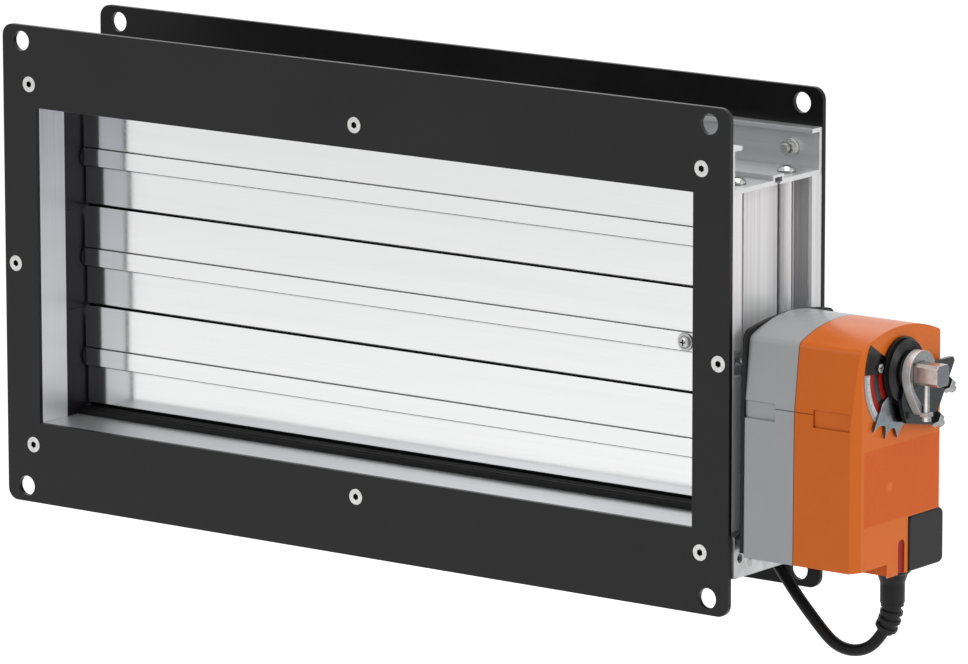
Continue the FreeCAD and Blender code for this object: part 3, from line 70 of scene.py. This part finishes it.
def add_camera():
    forward = Vector((-math.sin(YAW) * math.cos(PITCH), math.cos(YAW) * math.cos(PITCH),
                      -math.sin(PITCH)))
    level = Vector((math.cos(YAW), math.sin(YAW), 0))
    down = forward.cross(level)
    right = math.cos(ROLL) * level + math.sin(ROLL) * down
    up = math.sin(ROLL) * level - math.cos(ROLL) * down
    data = bpy.data.cameras.new("camera")
    data.sensor_width = SENSOR_WIDTH
    data.lens = SENSOR_WIDTH * FOCAL_PIXELS / PICTURE_WIDTH
    data.clip_end = 100
    camera = bpy.data.objects.new("camera", data)
    bpy.context.scene.collection.objects.link(camera)
    place = Matrix((right, up, -forward)).transposed().to_4x4()
    place.translation = Vector(CAMERA_PLACE)
    camera.matrix_world = place
    bpy.context.scene.camera = camera


add_camera()


# Materials

MIX_FACTOR, MIX_A, MIX_B, MIX_RESULT = 0, 6, 7, 2


def linear(*levels):
    """A colour given in the 0 to 255 levels of a display, as linear light."""
    return tuple((v / 255 / 12.92) if v / 255 <= 0.04045
                 else ((v / 255 + 0.055) / 1.055) ** 2.4 for v in levels)


def shade(colour, factor, lift=0.0, most=1.0):
    """A colour times a factor, plus a lift, up to a limit."""
    return tuple(min(c * factor + lift, most) for c in colour)


class Look:
    """A material whose constants sit on its shader and whose textures are procedural."""

    def __init__(self, name, colour, roughness, metallic=0.0, **levels):
        self.material = bpy.data.materials.new(name)
        self.material.use_nodes = True
        self.tree = self.material.node_tree
        self.shader = self.tree.nodes["Principled BSDF"]
        self.shader.inputs["Base Color"].default_value = (*colour, 1)
        self.shader.inputs["Roughness"].default_value = roughness
        self.shader.inputs["Metallic"].default_value = metallic
        for socket, level in levels.items():
            self.shader.inputs[socket.replace("_", " ")].default_value = level
        self.colour = colour
        self.place = self.add("ShaderNodeTexCoord").outputs["Object"]
        self.soft = None
        self.normal = None

    def add(self, kind, **settings):
        """A new node with its settings."""
        node = self.tree.nodes.new(kind)
        for key, value in settings.items():
            setattr(node, key, value)
        return node

    def link(self, source, target):
        self.tree.links.new(source, target)

    def stretched(self, stretch):
        """The place, scaled along each axis."""
        mapping = self.add("ShaderNodeMapping")
        mapping.inputs["Scale"].default_value = stretch
        self.link(self.place, mapping.inputs["Vector"])
        return mapping.outputs["Vector"]

    def noise(self, scale, detail=2.0, stretch=None):
        """Noise from 0 to 1 with so many features to a metre."""
        node = self.add("ShaderNodeTexNoise")
        node.inputs["Scale"].default_value = scale
        node.inputs["Detail"].default_value = detail
        self.link(self.stretched(stretch) if stretch else self.place, node.inputs["Vector"])
        return node.outputs["Fac"]

    def math(self, operation, first, second=None):
        """The result of one operation on numbers or sockets."""
        node = self.add("ShaderNodeMath", operation=operation)
        for socket, value in zip(node.inputs, (first, second)):
            if isinstance(value, (int, float)):
                socket.default_value = value
            elif value is not None:
                self.link(value, socket)
        return node.outputs[0]

    def part_of(self, vector, name):
        """One of a vector's parts, X, Y or Z."""
        split = self.add("ShaderNodeSeparateXYZ")
        self.link(vector, split.inputs[0])
        return split.outputs[name]

    def axis(self, name):
        """The place along X, Y or Z."""
        return self.part_of(self.place, name)

    def facing(self, name):
        """How far the surface faces along X, Y or Z of its own object."""
        return self.part_of(self.add("ShaderNodeTexCoord").outputs["Normal"], name)

    def within(self, name, low, high, soft=0.0001):
        """1 between two places on an axis and 0 outside, with soft ends."""
        place = self.axis(name)
        return self.math("MULTIPLY", self.spread(place, 0.0, 1.0, low - soft, low + soft),
                         self.spread(place, 1.0, 0.0, high - soft, high + soft))

    def from_axis(self, y, z):
        """The distance from a line along X."""
        across = self.math("POWER", self.math("SUBTRACT", self.axis("Y"), y), 2.0)
        upward = self.math("POWER", self.math("SUBTRACT", self.axis("Z"), z), 2.0)
        return self.math("SQRT", self.math("ADD", across, upward))

    def crevices(self, distance):
        """1 deep in a groove or hollow of about this size and 0 in the open, from ambient
        occlusion: the mask for painted shade.
        """
        node = self.add("ShaderNodeAmbientOcclusion", samples=6)
        node.inputs["Distance"].default_value = distance
        return self.math("SUBTRACT", 1.0, node.outputs["AO"])

    def spread(self, amount, low, high, start=0.0, end=1.0):
        """Map start..end of a texture onto low..high."""
        node = self.add("ShaderNodeMapRange")
        for name, value in (("From Min", start), ("From Max", end),
                            ("To Min", low), ("To Max", high)):
            node.inputs[name].default_value = value
        self.link(amount, node.inputs["Value"])
        return node.outputs["Result"]

    def tint(self, amount, other, start=0.3, end=0.7, share=1.0):
        """Blend from the colour so far to another one where the texture is high."""
        mix = self.add("ShaderNodeMix", data_type="RGBA")
        socket = self.shader.inputs["Base Color"]
        if socket.is_linked:
            self.link(socket.links[0].from_socket, mix.inputs[MIX_A])
        else:
            mix.inputs[MIX_A].default_value = (*self.colour, 1)
        mix.inputs[MIX_B].default_value = (*other, 1)
        self.link(self.spread(amount, 0.0, share, start, end), mix.inputs[MIX_FACTOR])
        self.link(mix.outputs[MIX_RESULT], socket)

    def gloss(self, amount, low, high, start=0.3, end=0.7):
        """Let the roughness follow a texture."""
        self.link(self.spread(amount, low, high, start, end), self.shader.inputs["Roughness"])

    def bump(self, amount, height):
        """Relief of so many metres between the texture's 0 and 1."""
        node = self.add("ShaderNodeBump")
        node.inputs["Strength"].default_value = 1.0
        node.inputs["Distance"].default_value = height
        self.link(amount, node.inputs["Height"])
        if self.normal is not None:
            self.link(self.normal, node.inputs["Normal"])
        self.normal = node.outputs["Normal"]
        self.link(self.normal, self.shader.inputs["Normal"])

    def rounded(self, radius):
        """Soften the edges of the shading by a radius in metres."""
        node = self.add("ShaderNodeBevel", samples=6)
        node.inputs["Radius"].default_value = radius
        self.soft = node.outputs["Normal"]
        self.normal = self.soft
        self.link(self.normal, self.shader.inputs["Normal"])

    def edges(self):
        """1 at an edge and 0 on a flat face, from the softened normal: the mask for painted edge
        highlights.
        """
        geometry = self.add("ShaderNodeNewGeometry")
        dot = self.add("ShaderNodeVectorMath", operation="DOT_PRODUCT")
        self.link(self.soft, dot.inputs[0])
        self.link(geometry.outputs["Normal"], dot.inputs[1])
        return self.spread(self.math("SUBTRACT", 1.0, dot.outputs["Value"]), 0.0, 1.0, 0.02, 0.2)


def powder_coat(name, level, ior):
    """Black powder coat with a fine orange peel and a painted highlight on its edges."""
    look = Look(name, (level, level, level * 1.04), 0.34, IOR=ior)
    look.rounded(0.0005)
    broad = look.noise(14, 3)
    look.tint(broad, (level * 1.36, level * 1.36, level * 1.42))
    # painted highlight: the edges are tinted lighter than the coat
    look.tint(look.edges(), (0.05, 0.05, 0.052), 0.1, 1.0, 0.7)
    look.gloss(broad, 0.3, 0.4)
    look.bump(look.noise(1500, 2), 0.000018)
    return look.material


# The heights between which a profile's colour changes to the one at its foot, a painted
# reflection that makes the wall paler towards the bottom
FOOT_TOP, FOOT_END = 0.07, -0.075


def rolled_metal(name, colour, roughness, along, streak=0.06, hollow=0.0012, metallic=1.0,
                 deep=(0.35, 0.85), foot=None):
    """Extruded or rolled metal with fine streaks along one axis, painted shade in its grooves
    and, if a foot colour is given, a painted reflection that pales it towards the bottom.
    """
    look = Look(name, colour, roughness, metallic)
    look.rounded(0.0003)
    stretch = [1.0, 1.0, 1.0]
    stretch["XYZ".index(along)] = 0.006
    lines = look.noise(1400, 3, stretch)
    stretch["XYZ".index(along)] = 0.02
    bands = look.noise(90, 3, stretch)
    clouds = look.noise(22, 3)
    look.tint(lines, shade(colour, 1 - streak))
    look.tint(bands, shade(colour, 1 - 2.2 * streak), 0.5, 0.72, 0.7)
    # painted reflection: paler towards the bottom, standing in for the bright bottom profile
    # reflected there
    if foot:
        look.tint(look.axis("Z"), foot, FOOT_TOP, FOOT_END, 0.9)
    # painted shade: darker in the grooves and hollows
    look.tint(look.crevices(hollow), shade(colour, 0.16), *deep, 0.9)
    look.gloss(look.math("ADD", look.math("MULTIPLY", lines, 0.6),
                         look.math("MULTIPLY", clouds, 0.4)),
               roughness * 0.8, roughness * 1.3)
    look.bump(lines, 0.000003)
    return look.material


def plated_steel(name, colour, roughness, hollow=0.0016, recess_shade=0.12, deep=(0.35, 0.9), face=None,
                 metallic=1.0):
    """Plated or bare steel with a fine mottle, painted shade in recesses and a painted highlight
    at edges.

    A face colour, if given, shows with a coarser mottle where the surface looks along X: a
    painted dark reflection on those faces.
    """
    look = Look(name, colour, roughness, metallic)
    look.rounded(0.0003)
    mottle = look.noise(420, 3)
    look.tint(mottle, shade(colour, 0.8))
    # painted reflection: faces that look along X take the darker face colour, standing in for the
    # dark surroundings reflected in them
    if face:
        look.tint(look.facing("X"), face, 0.6, 0.9)
        look.tint(look.math("MULTIPLY", look.facing("X"), look.noise(900, 2)),
                  shade(face, 1.6), 0.5, 0.6, 0.5)
    # painted highlight: lighter at the edges
    look.tint(look.edges(), shade(colour, 2.4, most=0.9), 0.1, 0.9, 0.9)
    # painted shade: darker in recesses
    look.tint(look.crevices(hollow), shade(colour, recess_shade), *deep, 0.95)
    look.gloss(mottle, roughness * 0.8, roughness * 1.5)
    look.bump(look.noise(2600, 2), 0.000004)
    return look.material


def galvanised(name, colour, roughness):
    """Zinc-dipped sheet with its crystal pattern and painted shade in its recesses."""
    look = Look(name, colour, roughness, 1.0)
    look.rounded(0.0004)
    cells = look.add("ShaderNodeTexVoronoi")
    cells.inputs["Scale"].default_value = 260
    look.link(look.place, cells.inputs["Vector"])
    grain = look.add("ShaderNodeSeparateColor")
    look.link(cells.outputs["Color"], grain.inputs["Color"])
    look.tint(grain.outputs["Red"], shade(colour, 0.86), 0.2, 0.9)
    look.gloss(grain.outputs["Green"], roughness * 0.8, roughness * 1.25, 0.0, 1.0)
    # painted shade: darker in recesses
    look.tint(look.crevices(0.003), shade(colour, 0.1), 0.4, 0.9, 0.9)
    look.bump(look.noise(1200, 2), 0.000004)
    return look.material


def moulded_look(name, colour, roughness=0.5, relief=0.00001, edge=0.0005, **levels):
    """Moulded plastic: eroded grain, slight clouds, and a painted highlight that makes the edges
    paler.
    """
    look = Look(name, colour, roughness, 0.0, **levels)
    look.rounded(edge)
    clouds = look.noise(30, 3)
    look.tint(clouds, shade(colour, 1.06, 0.001), 0.2, 0.8)
    # painted highlight: paler at the edges
    look.tint(look.edges(), shade(colour, 1.3, 0.012), 0.2, 1.0, 0.5)
    look.gloss(clouds, roughness * 0.94, roughness * 1.08, 0.2, 0.8)
    look.bump(look.noise(2400, 2), relief)
    return look


def moulded(*settings, **levels):
    return moulded_look(*settings, **levels).material


# The cover's label area, the moulding mark in it, and the short joint line on the cover's side
LABEL_X = (FRONT_X - 0.0006, FRONT_X + 0.001)
LABEL_Y = (0.0098, 0.0725)
LABEL_Z = (-0.0705, -0.0345)
LABEL_TINT = (0.98, 0.72, 0.0)
MARK_PLACE = (0.0314, -0.0542)
MARK_RADIUS = 0.0016
MARK_EDGE = 0.001
JOINT_LENGTH = 0.0106
JOINT_Z = (-0.0183, -0.0178)
SEAM_HALF_WIDTH = 0.0002


def add_label(look, colour):
    """The cover's label area with its round mark, and the joint line on the cover's side."""
    area = look.math("MULTIPLY", look.within("Y", *LABEL_Y), look.within("Z", *LABEL_Z))
    area = look.math("MULTIPLY", area, look.within("X", *LABEL_X))
    look.tint(area, tuple(c * k for c, k in zip(colour, LABEL_TINT)), 0.0, 1.0)
    mark = look.from_axis(*MARK_PLACE)
    look.tint(look.spread(mark, 1.0, 0.0, MARK_RADIUS, MARK_RADIUS + MARK_EDGE),
              shade(colour, 1.25, 0.02), 0.0, 1.0, 0.5)
    look.bump(look.spread(mark, 0.0, 1.0, MARK_RADIUS + 0.2 * MARK_EDGE, MARK_RADIUS + MARK_EDGE),
              0.0001)
    joint = look.math("MULTIPLY", look.within("X", SEAM_X, SEAM_X + JOINT_LENGTH),
                      look.within("Z", *JOINT_Z))
    look.tint(joint, shade(colour, 0.3), 0.0, 1.0)


def housing(name, colour, label=False):
    """An actuator shell: satin plastic with a dark seam, painted shade in its recesses and, on
    the cover, a label area.
    """
    look = moulded_look(name, colour, 0.27, 0.00001, 0.0003, Specular_IOR_Level=0.06,
                        Coat_Weight=0.25, Coat_Roughness=0.25)
    if label:
        add_label(look, colour)
    look.tint(look.within("X", SEAM_X - SEAM_HALF_WIDTH, SEAM_X + SEAM_HALF_WIDTH),
              shade(colour, 0.12), 0.0, 1.0)
    # painted shade: darker in the recesses
    look.tint(look.crevices(0.0015), shade(colour, 0.3), 0.22, 0.62, 0.85)
    return look.material


SEAL_RIB_PITCH = 0.0011


def ribbed_rubber(name):
    """Black extruded rubber with fine ridges that run along the blades."""
    look = Look(name, (0.005, 0.005, 0.0053), 0.44, Specular_IOR_Level=0.15)
    wave = look.math("SINE", look.math("MULTIPLY", look.axis("Y"), 2 * math.pi / SEAL_RIB_PITCH))
    look.tint(look.noise(60, 3), (0.008, 0.008, 0.0085))
    look.gloss(look.noise(220, 2, (0.02, 1, 1)), 0.36, 0.52)
    look.bump(look.spread(wave, 0.0, 1.0, -1.0, 1.0), 0.00012)
    look.bump(look.noise(2000, 1), 0.000008)
    return look.material


def scale_paper(name):
    """The angle scale's pale print."""
    look = Look(name, linear(206, 210, 214), 0.35)
    look.rounded(0.0002)
    look.tint(look.noise(500, 2), linear(188, 192, 197))
    look.bump(look.noise(1500, 1), 0.000004)
    return look.material


BLADE = rolled_metal("blade_aluminium", (0.715, 0.717, 0.722), 0.11, "X", 0.02,
                     hollow=0.0018, deep=(0.1, 0.36))
# painted light: the four frame profiles are one aluminium, and these three copies differ in
# colour and metallic only to match how each is lit; the upright on the right is a lighter, more
# diffuse copy, and the inner one on the left carries a lilac painted reflection
FRAME_X = rolled_metal("profile_aluminium", (0.67, 0.675, 0.682), 0.38, "X", 0.08, metallic=0.8)
FRAME_LEFT = rolled_metal("profile_aluminium_inner", (0.68, 0.69, 0.745), 0.36, "Z", 0.1,
                          metallic=0.45, foot=(0.985, 0.99, 1.0))
FRAME_RIGHT = rolled_metal("profile_aluminium_upright", (0.85, 0.855, 0.865), 0.36, "Z", 0.15,
                           metallic=0.2)
COAT = powder_coat("powder_coat", 0.0055, 1.33)
# painted shade: the rear plate's coat is a darker copy of the front plate's powder coat
SHADED_REAR_COAT = powder_coat("powder_coat_rear", 0.0038, 1.25)
ZINC = plated_steel("zinc_plate", (0.62, 0.62, 0.61), 0.24, 0.003, 0.02, (0.12, 0.5))
NUT = plated_steel("nut_steel", (0.62, 0.62, 0.61), 0.2, 0.0012, 0.05, (0.45, 0.95))
PAN_HEAD = plated_steel("pan_head_steel", (0.5, 0.5, 0.5), 0.13, 0.003, 0.05, (0.2, 0.6))
JAW = plated_steel("jaw_steel", (0.96, 0.94, 0.92), 0.17, 0.0011, 0.05, (0.3, 0.8),
                   (0.22, 0.225, 0.23), 0.45)
SHAFT = plated_steel("shaft_steel", (0.52, 0.45, 0.41), 0.15, 0.0025, 0.15, (0.35, 0.9),
                     (0.13, 0.14, 0.155), 0.85)
STUD = plated_steel("stud_steel", (0.3, 0.3, 0.3), 0.13, 0.0014, 0.06, (0.25, 0.7))
DARK = plated_steel("phosphated_steel", (0.042, 0.045, 0.046), 0.18, 0.004, 0.2)
BLUED = plated_steel("tempered_steel", (0.2, 0.228, 0.25), 0.17, 0.003, 0.3)
GALVANISED = galvanised("galvanised_sheet", (0.5, 0.505, 0.51), 0.34)
RUBBER = ribbed_rubber("ribbed_rubber")
BLACK = moulded("black_plastic", (0.0085, 0.0085, 0.009), 0.42, Specular_IOR_Level=0.2)
BEARING = moulded("bearing_plastic", (0.0105, 0.009, 0.0125), 0.4, Specular_IOR_Level=0.22)
DISC = moulded("hub_plastic", (0.006, 0.006, 0.007), 0.18, 0.000004, 0.0003,
               Specular_IOR_Level=0.3)
NYLON = moulded("gear_plastic", (0.55, 0.54, 0.5), 0.4)
GREY = housing("grey_housing", linear(170, 171, 173))
ORANGE = housing("orange_housing", linear(217, 107, 30), label=True)
RED = moulded("red_plastic", linear(150, 22, 8), 0.32, Specular_IOR_Level=0.14)
SHEATH = moulded("cable_sheath", (0.006, 0.006, 0.0064), 0.38, 0.000006, 0.0003,
                 Specular_IOR_Level=0.14)
BOARD = moulded("circuit_board", (0.01, 0.08, 0.03), 0.4)
PAPER = scale_paper("scale_print")

FINISH = {
    "front_flange_plate": COAT, "rear_flange_plate": SHADED_REAR_COAT,
    "top_frame_profile": FRAME_X, "bottom_frame_profile": FRAME_X,
    "left_frame_profile": FRAME_LEFT, "right_frame_profile": FRAME_RIGHT,
    "front_flange_screws": ZINC, "rear_flange_screws": ZINC, "flange_nuts": NUT,
    "frame_corner_screws": PAN_HEAD, "idler_pins": ZINC, "blade_screw": PAN_HEAD,
    "top_stop_seal": RUBBER, "bottom_stop_seal": RUBBER,
    "drive_shaft": SHAFT, "clamp_jaw": JAW, "clamp_screw": JAW, "clamp_nuts": STUD,
    "clamp_plate": DARK, "clamp_sleeve": DISC, "stop_fan": DARK, "stop_screw": ZINC,
    "stop_sector": BLUED, "angle_scale": PAPER, "shaft_bush": BLACK,
    "actuator_bracket": GALVANISED, "actuator_back_plate": BLACK, "actuator_base": GREY,
    "actuator_cover": ORANGE, "terminal_cover": BLACK, "slot_insert": RED,
    "actuator_fixing_screws": ZINC, "actuator_motor": GALVANISED, "return_spring": DARK,
    "circuit_board": BOARD, "strain_relief": BLACK, "cable_boot": BLACK,
    "cable_ties": BLACK, "idler_gear_upper": NYLON, "idler_gear_lower": NYLON,
    "actuator_cable": SHEATH, "cable_hank": SHEATH,
}
for row in ("top", "middle", "bottom"):
    FINISH.update({"blade_" + row: BLADE, "blade_seal_" + row: RUBBER,
                   "blade_pin_" + row: BLACK, "gear_" + row: NYLON,
                   "bearing_plate_" + row: BEARING, "gear_plate_" + row: BEARING})


def paint_node(node, material):
    """Give all the slots of a CAD node one material."""
    slots = NODES[node].data.materials
    if not slots:
        slots.append(material)
    for index in range(len(slots)):
        slots[index] = material


for node, material in FINISH.items():
    paint_node(node, material)


# Pieces made here

def add_piece(name, data, material, body="casing"):
    """A piece that moves with a body and takes the material it is given."""
    item = bpy.data.objects.new(name, data)
    bpy.context.scene.collection.objects.link(item)
    data.materials.append(material)
    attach(item, body)
    return item


def mesh_of(name, build):
    """A mesh that a function fills through bmesh."""
    mesh = bpy.data.meshes.new(name)
    shape = bmesh.new()
    build(shape)
    bmesh.ops.recalc_face_normals(shape, faces=shape.faces)
    shape.to_mesh(mesh)
    shape.free()
    return mesh


def hub_point(x, radius, degrees):
    """A point round the hub: an angle from +Y towards +Z at a distance from the axis."""
    angle = math.radians(degrees)
    return Vector((x, AXIS_Y + radius * math.cos(angle), radius * math.sin(angle)))


def join_rings(shape, before, after):
    """Faces between two rings of as many points."""
    for k in range(len(before)):
        k_next = (k + 1) % len(before)
        shape.faces.new((before[k], before[k_next], after[k_next], after[k]))


def add_sector(shape, x, thick, inner, outer, start, finish, steps):
    """A flat ring sector that stands on a face of constant X."""
    corners = ((0, inner), (0, outer), (thick, outer), (thick, inner))
    rings = []
    for step in range(steps + 1):
        angle = start + (finish - start) * step / steps
        rings.append([shape.verts.new(hub_point(x + dx, radius, angle))
                      for dx, radius in corners])
    for before, after in zip(rings, rings[1:]):
        join_rings(shape, before, after)
    shape.faces.new(rings[0])
    shape.faces.new(rings[-1][::-1])


# The angle scale's trim: the red track beside it and the fine lines on its face

TRACK_INNER, TRACK_OUTER = 0.0148, 0.0259
TRACK_THICK = 0.0004
TRACK_SUNK = 0.0001
TRACK_START, TRACK_FINISH = 176, 223.5
TRACK_STEPS = 48

TICK_COUNT = 37
TICK_FIRST, TICK_STEP = 177.4, 1.5
TICK_HALF_WIDTH = 0.22
TICK_OUTER, TICK_INNER, LONG_TICK_INNER = 0.0298, 0.0282, 0.0268
TICK_X = FRONT_X + 0.00048
TICK_THICK = 0.00006


def scale_track(shape):
    """The red band between the hub and the scale, sunk a little into the cover's face."""
    add_sector(shape, FRONT_X - TRACK_SUNK, TRACK_THICK, TRACK_INNER, TRACK_OUTER,
               TRACK_START, TRACK_FINISH, TRACK_STEPS)


def scale_ticks(shape):
    """Fine lines at the scale's outer edge, longer at each fifth."""
    for number in range(TICK_COUNT):
        middle = TICK_FIRST + number * TICK_STEP
        inner = LONG_TICK_INNER if number % 5 == 0 else TICK_INNER
        add_sector(shape, TICK_X, TICK_THICK, inner, TICK_OUTER,
                   middle - TICK_HALF_WIDTH, middle + TICK_HALF_WIDTH, 1)


add_piece("scale_track", mesh_of("scale_track", scale_track), RED)
add_piece("scale_ticks", mesh_of("scale_ticks", scale_ticks), BLACK)

# The turned ridges on the hub disc's front

HUB_FACE = 0.2943
RIDGE_INNER, RIDGE_OUTER = 0.0096, 0.0142
RIDGE_PITCH = 0.0011
RIDGE_HEIGHT = 0.00035
RIDGE_FOOT = 0.0002


def hub_ridges(shape):
    """Turned ridges round the shaft on the hub disc's front, as one closed band."""
    front = []
    radius = RIDGE_INNER
    while radius < RIDGE_OUTER:
        front += [(0.0, radius), (RIDGE_HEIGHT, radius + RIDGE_PITCH * 0.3),
                  (RIDGE_HEIGHT, radius + RIDGE_PITCH * 0.6)]
        radius += RIDGE_PITCH
    profile = front + [(0.0, radius), (-RIDGE_FOOT, radius), (-RIDGE_FOOT, RIDGE_INNER)]
    rings = [[shape.verts.new(hub_point(HUB_FACE + dx, reach, degrees)) for dx, reach in profile]
             for degrees in range(0, 360, 5)]
    for before, after in zip(rings, rings[1:] + rings[:1]):
        join_rings(shape, before, after)


add_piece("hub_ridges", mesh_of("hub_ridges", hub_ridges), DISC, "blade_middle")


# Cable: its run out of the boot and, where the plates hide it, its put-away hank

CABLE_DIAMETER = 0.0058
CABLE_EXIT = (0.27573, 0.0502, -0.12813)
CABLE_RUN = [
    CABLE_EXIT, (0.271, 0.0502, -0.1351), (0.2638, 0.0501, -0.1397), (0.2552, 0.05, -0.141),
    (0.2463, 0.0499, -0.1384), (0.2358, 0.0498, -0.1284), (0.2244, 0.0504, -0.1172),
    (0.2132, 0.0536, -0.107), (0.2022, 0.0596, -0.0998), (0.1906, 0.0668, -0.0975),
    (0.1792, 0.0703, -0.0974),
]
HANK_Z = -0.0975
HANK_RIGHT, HANK_LEFT = 0.1592, 0.0432
HANK_RADIUS = 0.0283
HALF_LAP = 0.0029
TURN_STEP = 30


def hank_turn(centre_x, radius_at, first, last):
    """The control points of a turn, one for each step, from one angle to another."""
    points = []
    for number in range(round((last - first) / TURN_STEP)):
        degrees = first + TURN_STEP / 2 + TURN_STEP * number
        angle = math.radians(degrees)
        reach = radius_at(degrees) / math.cos(math.radians(TURN_STEP / 2))
        points.append((centre_x + reach * math.cos(angle), AXIS_Y + reach * math.sin(angle),
                       HANK_Z))
    return points


def hank_points():
    """Two laps side by side; the inner one follows on from the outer one at the right."""
    outer, inner = HANK_RADIUS + HALF_LAP, HANK_RADIUS - HALF_LAP
    shift = outer * math.tan(math.radians(TURN_STEP / 2))
    middle = (HANK_RIGHT + HANK_LEFT) / 2

    def run(side, radius, start, finish):
        return [(x, AXIS_Y + side * radius, HANK_Z) for x in (start, middle, finish)]

    def closing(from_radius, to_radius):
        """A radius that changes between 0 and 90 degrees of a turn."""
        def radius_at(degrees):
            return from_radius + (to_radius - from_radius) * min(max(degrees / 90, 0), 1)
        return radius_at

    points = run(1, outer, HANK_RIGHT, HANK_LEFT + shift)
    points += hank_turn(HANK_LEFT, lambda degrees: outer, 90, 270)
    points += run(-1, outer, HANK_LEFT + shift, HANK_RIGHT - shift)
    points += hank_turn(HANK_RIGHT, closing(outer, inner), -90, 90)
    points += run(1, inner, HANK_RIGHT - shift, HANK_LEFT + shift)
    points += hank_turn(HANK_LEFT, lambda degrees: inner, 90, 270)
    points += run(-1, inner, HANK_LEFT + shift, HANK_RIGHT - shift)
    points += hank_turn(HANK_RIGHT, closing(inner, inner - 2 * HALF_LAP), -90, 60)
    return points


def add_cable():
    points = CABLE_RUN + hank_points()
    curve = bpy.data.curves.new("cable", "CURVE")
    curve.dimensions = "3D"
    curve.bevel_depth = CABLE_DIAMETER / 2
    curve.bevel_resolution = 6
    curve.resolution_u = 10
    curve.use_fill_caps = True
    spline = curve.splines.new("NURBS")
    spline.points.add(len(points) - 1)
    for point, place in zip(spline.points, points):
        point.co = (*place, 1)
    spline.order_u = 3
    spline.use_endpoint_u = True
    cable = add_piece("cable", curve, SHEATH)
    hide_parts("actuator_cable", "cable_hank")
    return cable


cable = add_cable()


# Floor, world and lamps

FLOOR_HEIGHT = -0.45
FLOOR_REACH = 30
FLOOR_GREY = 0.86
FLOOR_GLOW = 0.62
SKY_LIGHT = 0.5


def shows_white(tree):
    """1 for rays from the camera, in a gloss or through glass, else 0."""
    path = tree.nodes.new("ShaderNodeLightPath")
    total = path.outputs["Is Camera Ray"]
    for name in ("Is Glossy Ray", "Is Transmission Ray"):
        add = tree.nodes.new("ShaderNodeMath")
        add.operation = "ADD"
        add.use_clamp = True
        tree.links.new(total, add.inputs[0])
        tree.links.new(path.outputs[name], add.inputs[1])
        total = add.outputs[0]
    return total


def blend_range(tree, amount, low, high):
    """Map 0..1 onto low..high."""
    node = tree.nodes.new("ShaderNodeMapRange")
    node.inputs["To Min"].default_value = low
    node.inputs["To Max"].default_value = high
    tree.links.new(amount, node.inputs["Value"])
    return node.outputs["Result"]


def add_world():
    """A world that looks white and lights the object less strongly."""
    world = bpy.data.worlds.new("studio")
    world.use_nodes = True
    tree = world.node_tree
    background = tree.nodes["Background"]
    background.inputs["Color"].default_value = (1, 1, 1, 1)
    tree.links.new(blend_range(tree, shows_white(tree), SKY_LIGHT, 1.0),
                   background.inputs["Strength"])
    bpy.context.scene.world = world


def add_floor():
    """A wide floor that looks white apart from the object's shadow."""
    mesh = mesh_of("floor", lambda shape: bmesh.ops.create_grid(
        shape, x_segments=1, y_segments=1, size=FLOOR_REACH))
    floor = bpy.data.objects.new("floor", mesh)
    floor.location.z = FLOOR_HEIGHT
    bpy.context.scene.collection.objects.link(floor)
    material = bpy.data.materials.new("floor")
    material.use_nodes = True
    tree = material.node_tree
    shader = tree.nodes["Principled BSDF"]
    shader.inputs["Base Color"].default_value = (FLOOR_GREY, FLOOR_GREY, FLOOR_GREY, 1)
    shader.inputs["Roughness"].default_value = 1.0
    shader.inputs["Specular IOR Level"].default_value = 0.0
    shader.inputs["Emission Color"].default_value = (1, 1, 1, 1)
    tree.links.new(blend_range(tree, shows_white(tree), 0.0, FLOOR_GLOW),
                   shader.inputs["Emission Strength"])
    mesh.materials.append(material)


def add_lamp(name, place, target, size, power):
    """A rectangular lamp at a place that shines on a target."""
    data = bpy.data.lights.new(name, "AREA")
    data.shape = "RECTANGLE"
    data.size, data.size_y = size
    data.energy = power
    lamp = bpy.data.objects.new(name, data)
    lamp.location = place
    lamp.rotation_euler = (Vector(target) - Vector(place)).to_track_quat("-Z", "Y").to_euler()
    bpy.context.scene.collection.objects.link(lamp)


add_world()
add_floor()
add_lamp("top_lamp", (0.25, 0.15, 1.7), (0.1, 0.04, 0), (1.6, 1.2), 9.5)
add_lamp("right_lamp", (1.9, 0.3, 0.6), (0.2, 0.04, 0), (1.0, 1.2), 9.5)
add_lamp("front_lamp", (-0.8, -1.9, 1.1), (0, 0, 0), (1.4, 1.0), 7.5)
add_lamp("back_lamp", (-1.03, 1.46, 1.09), (0.27, 0.04, 0), (1.2, 0.8), 2.5)
bpy.context.scene.view_settings.view_transform = "Standard"
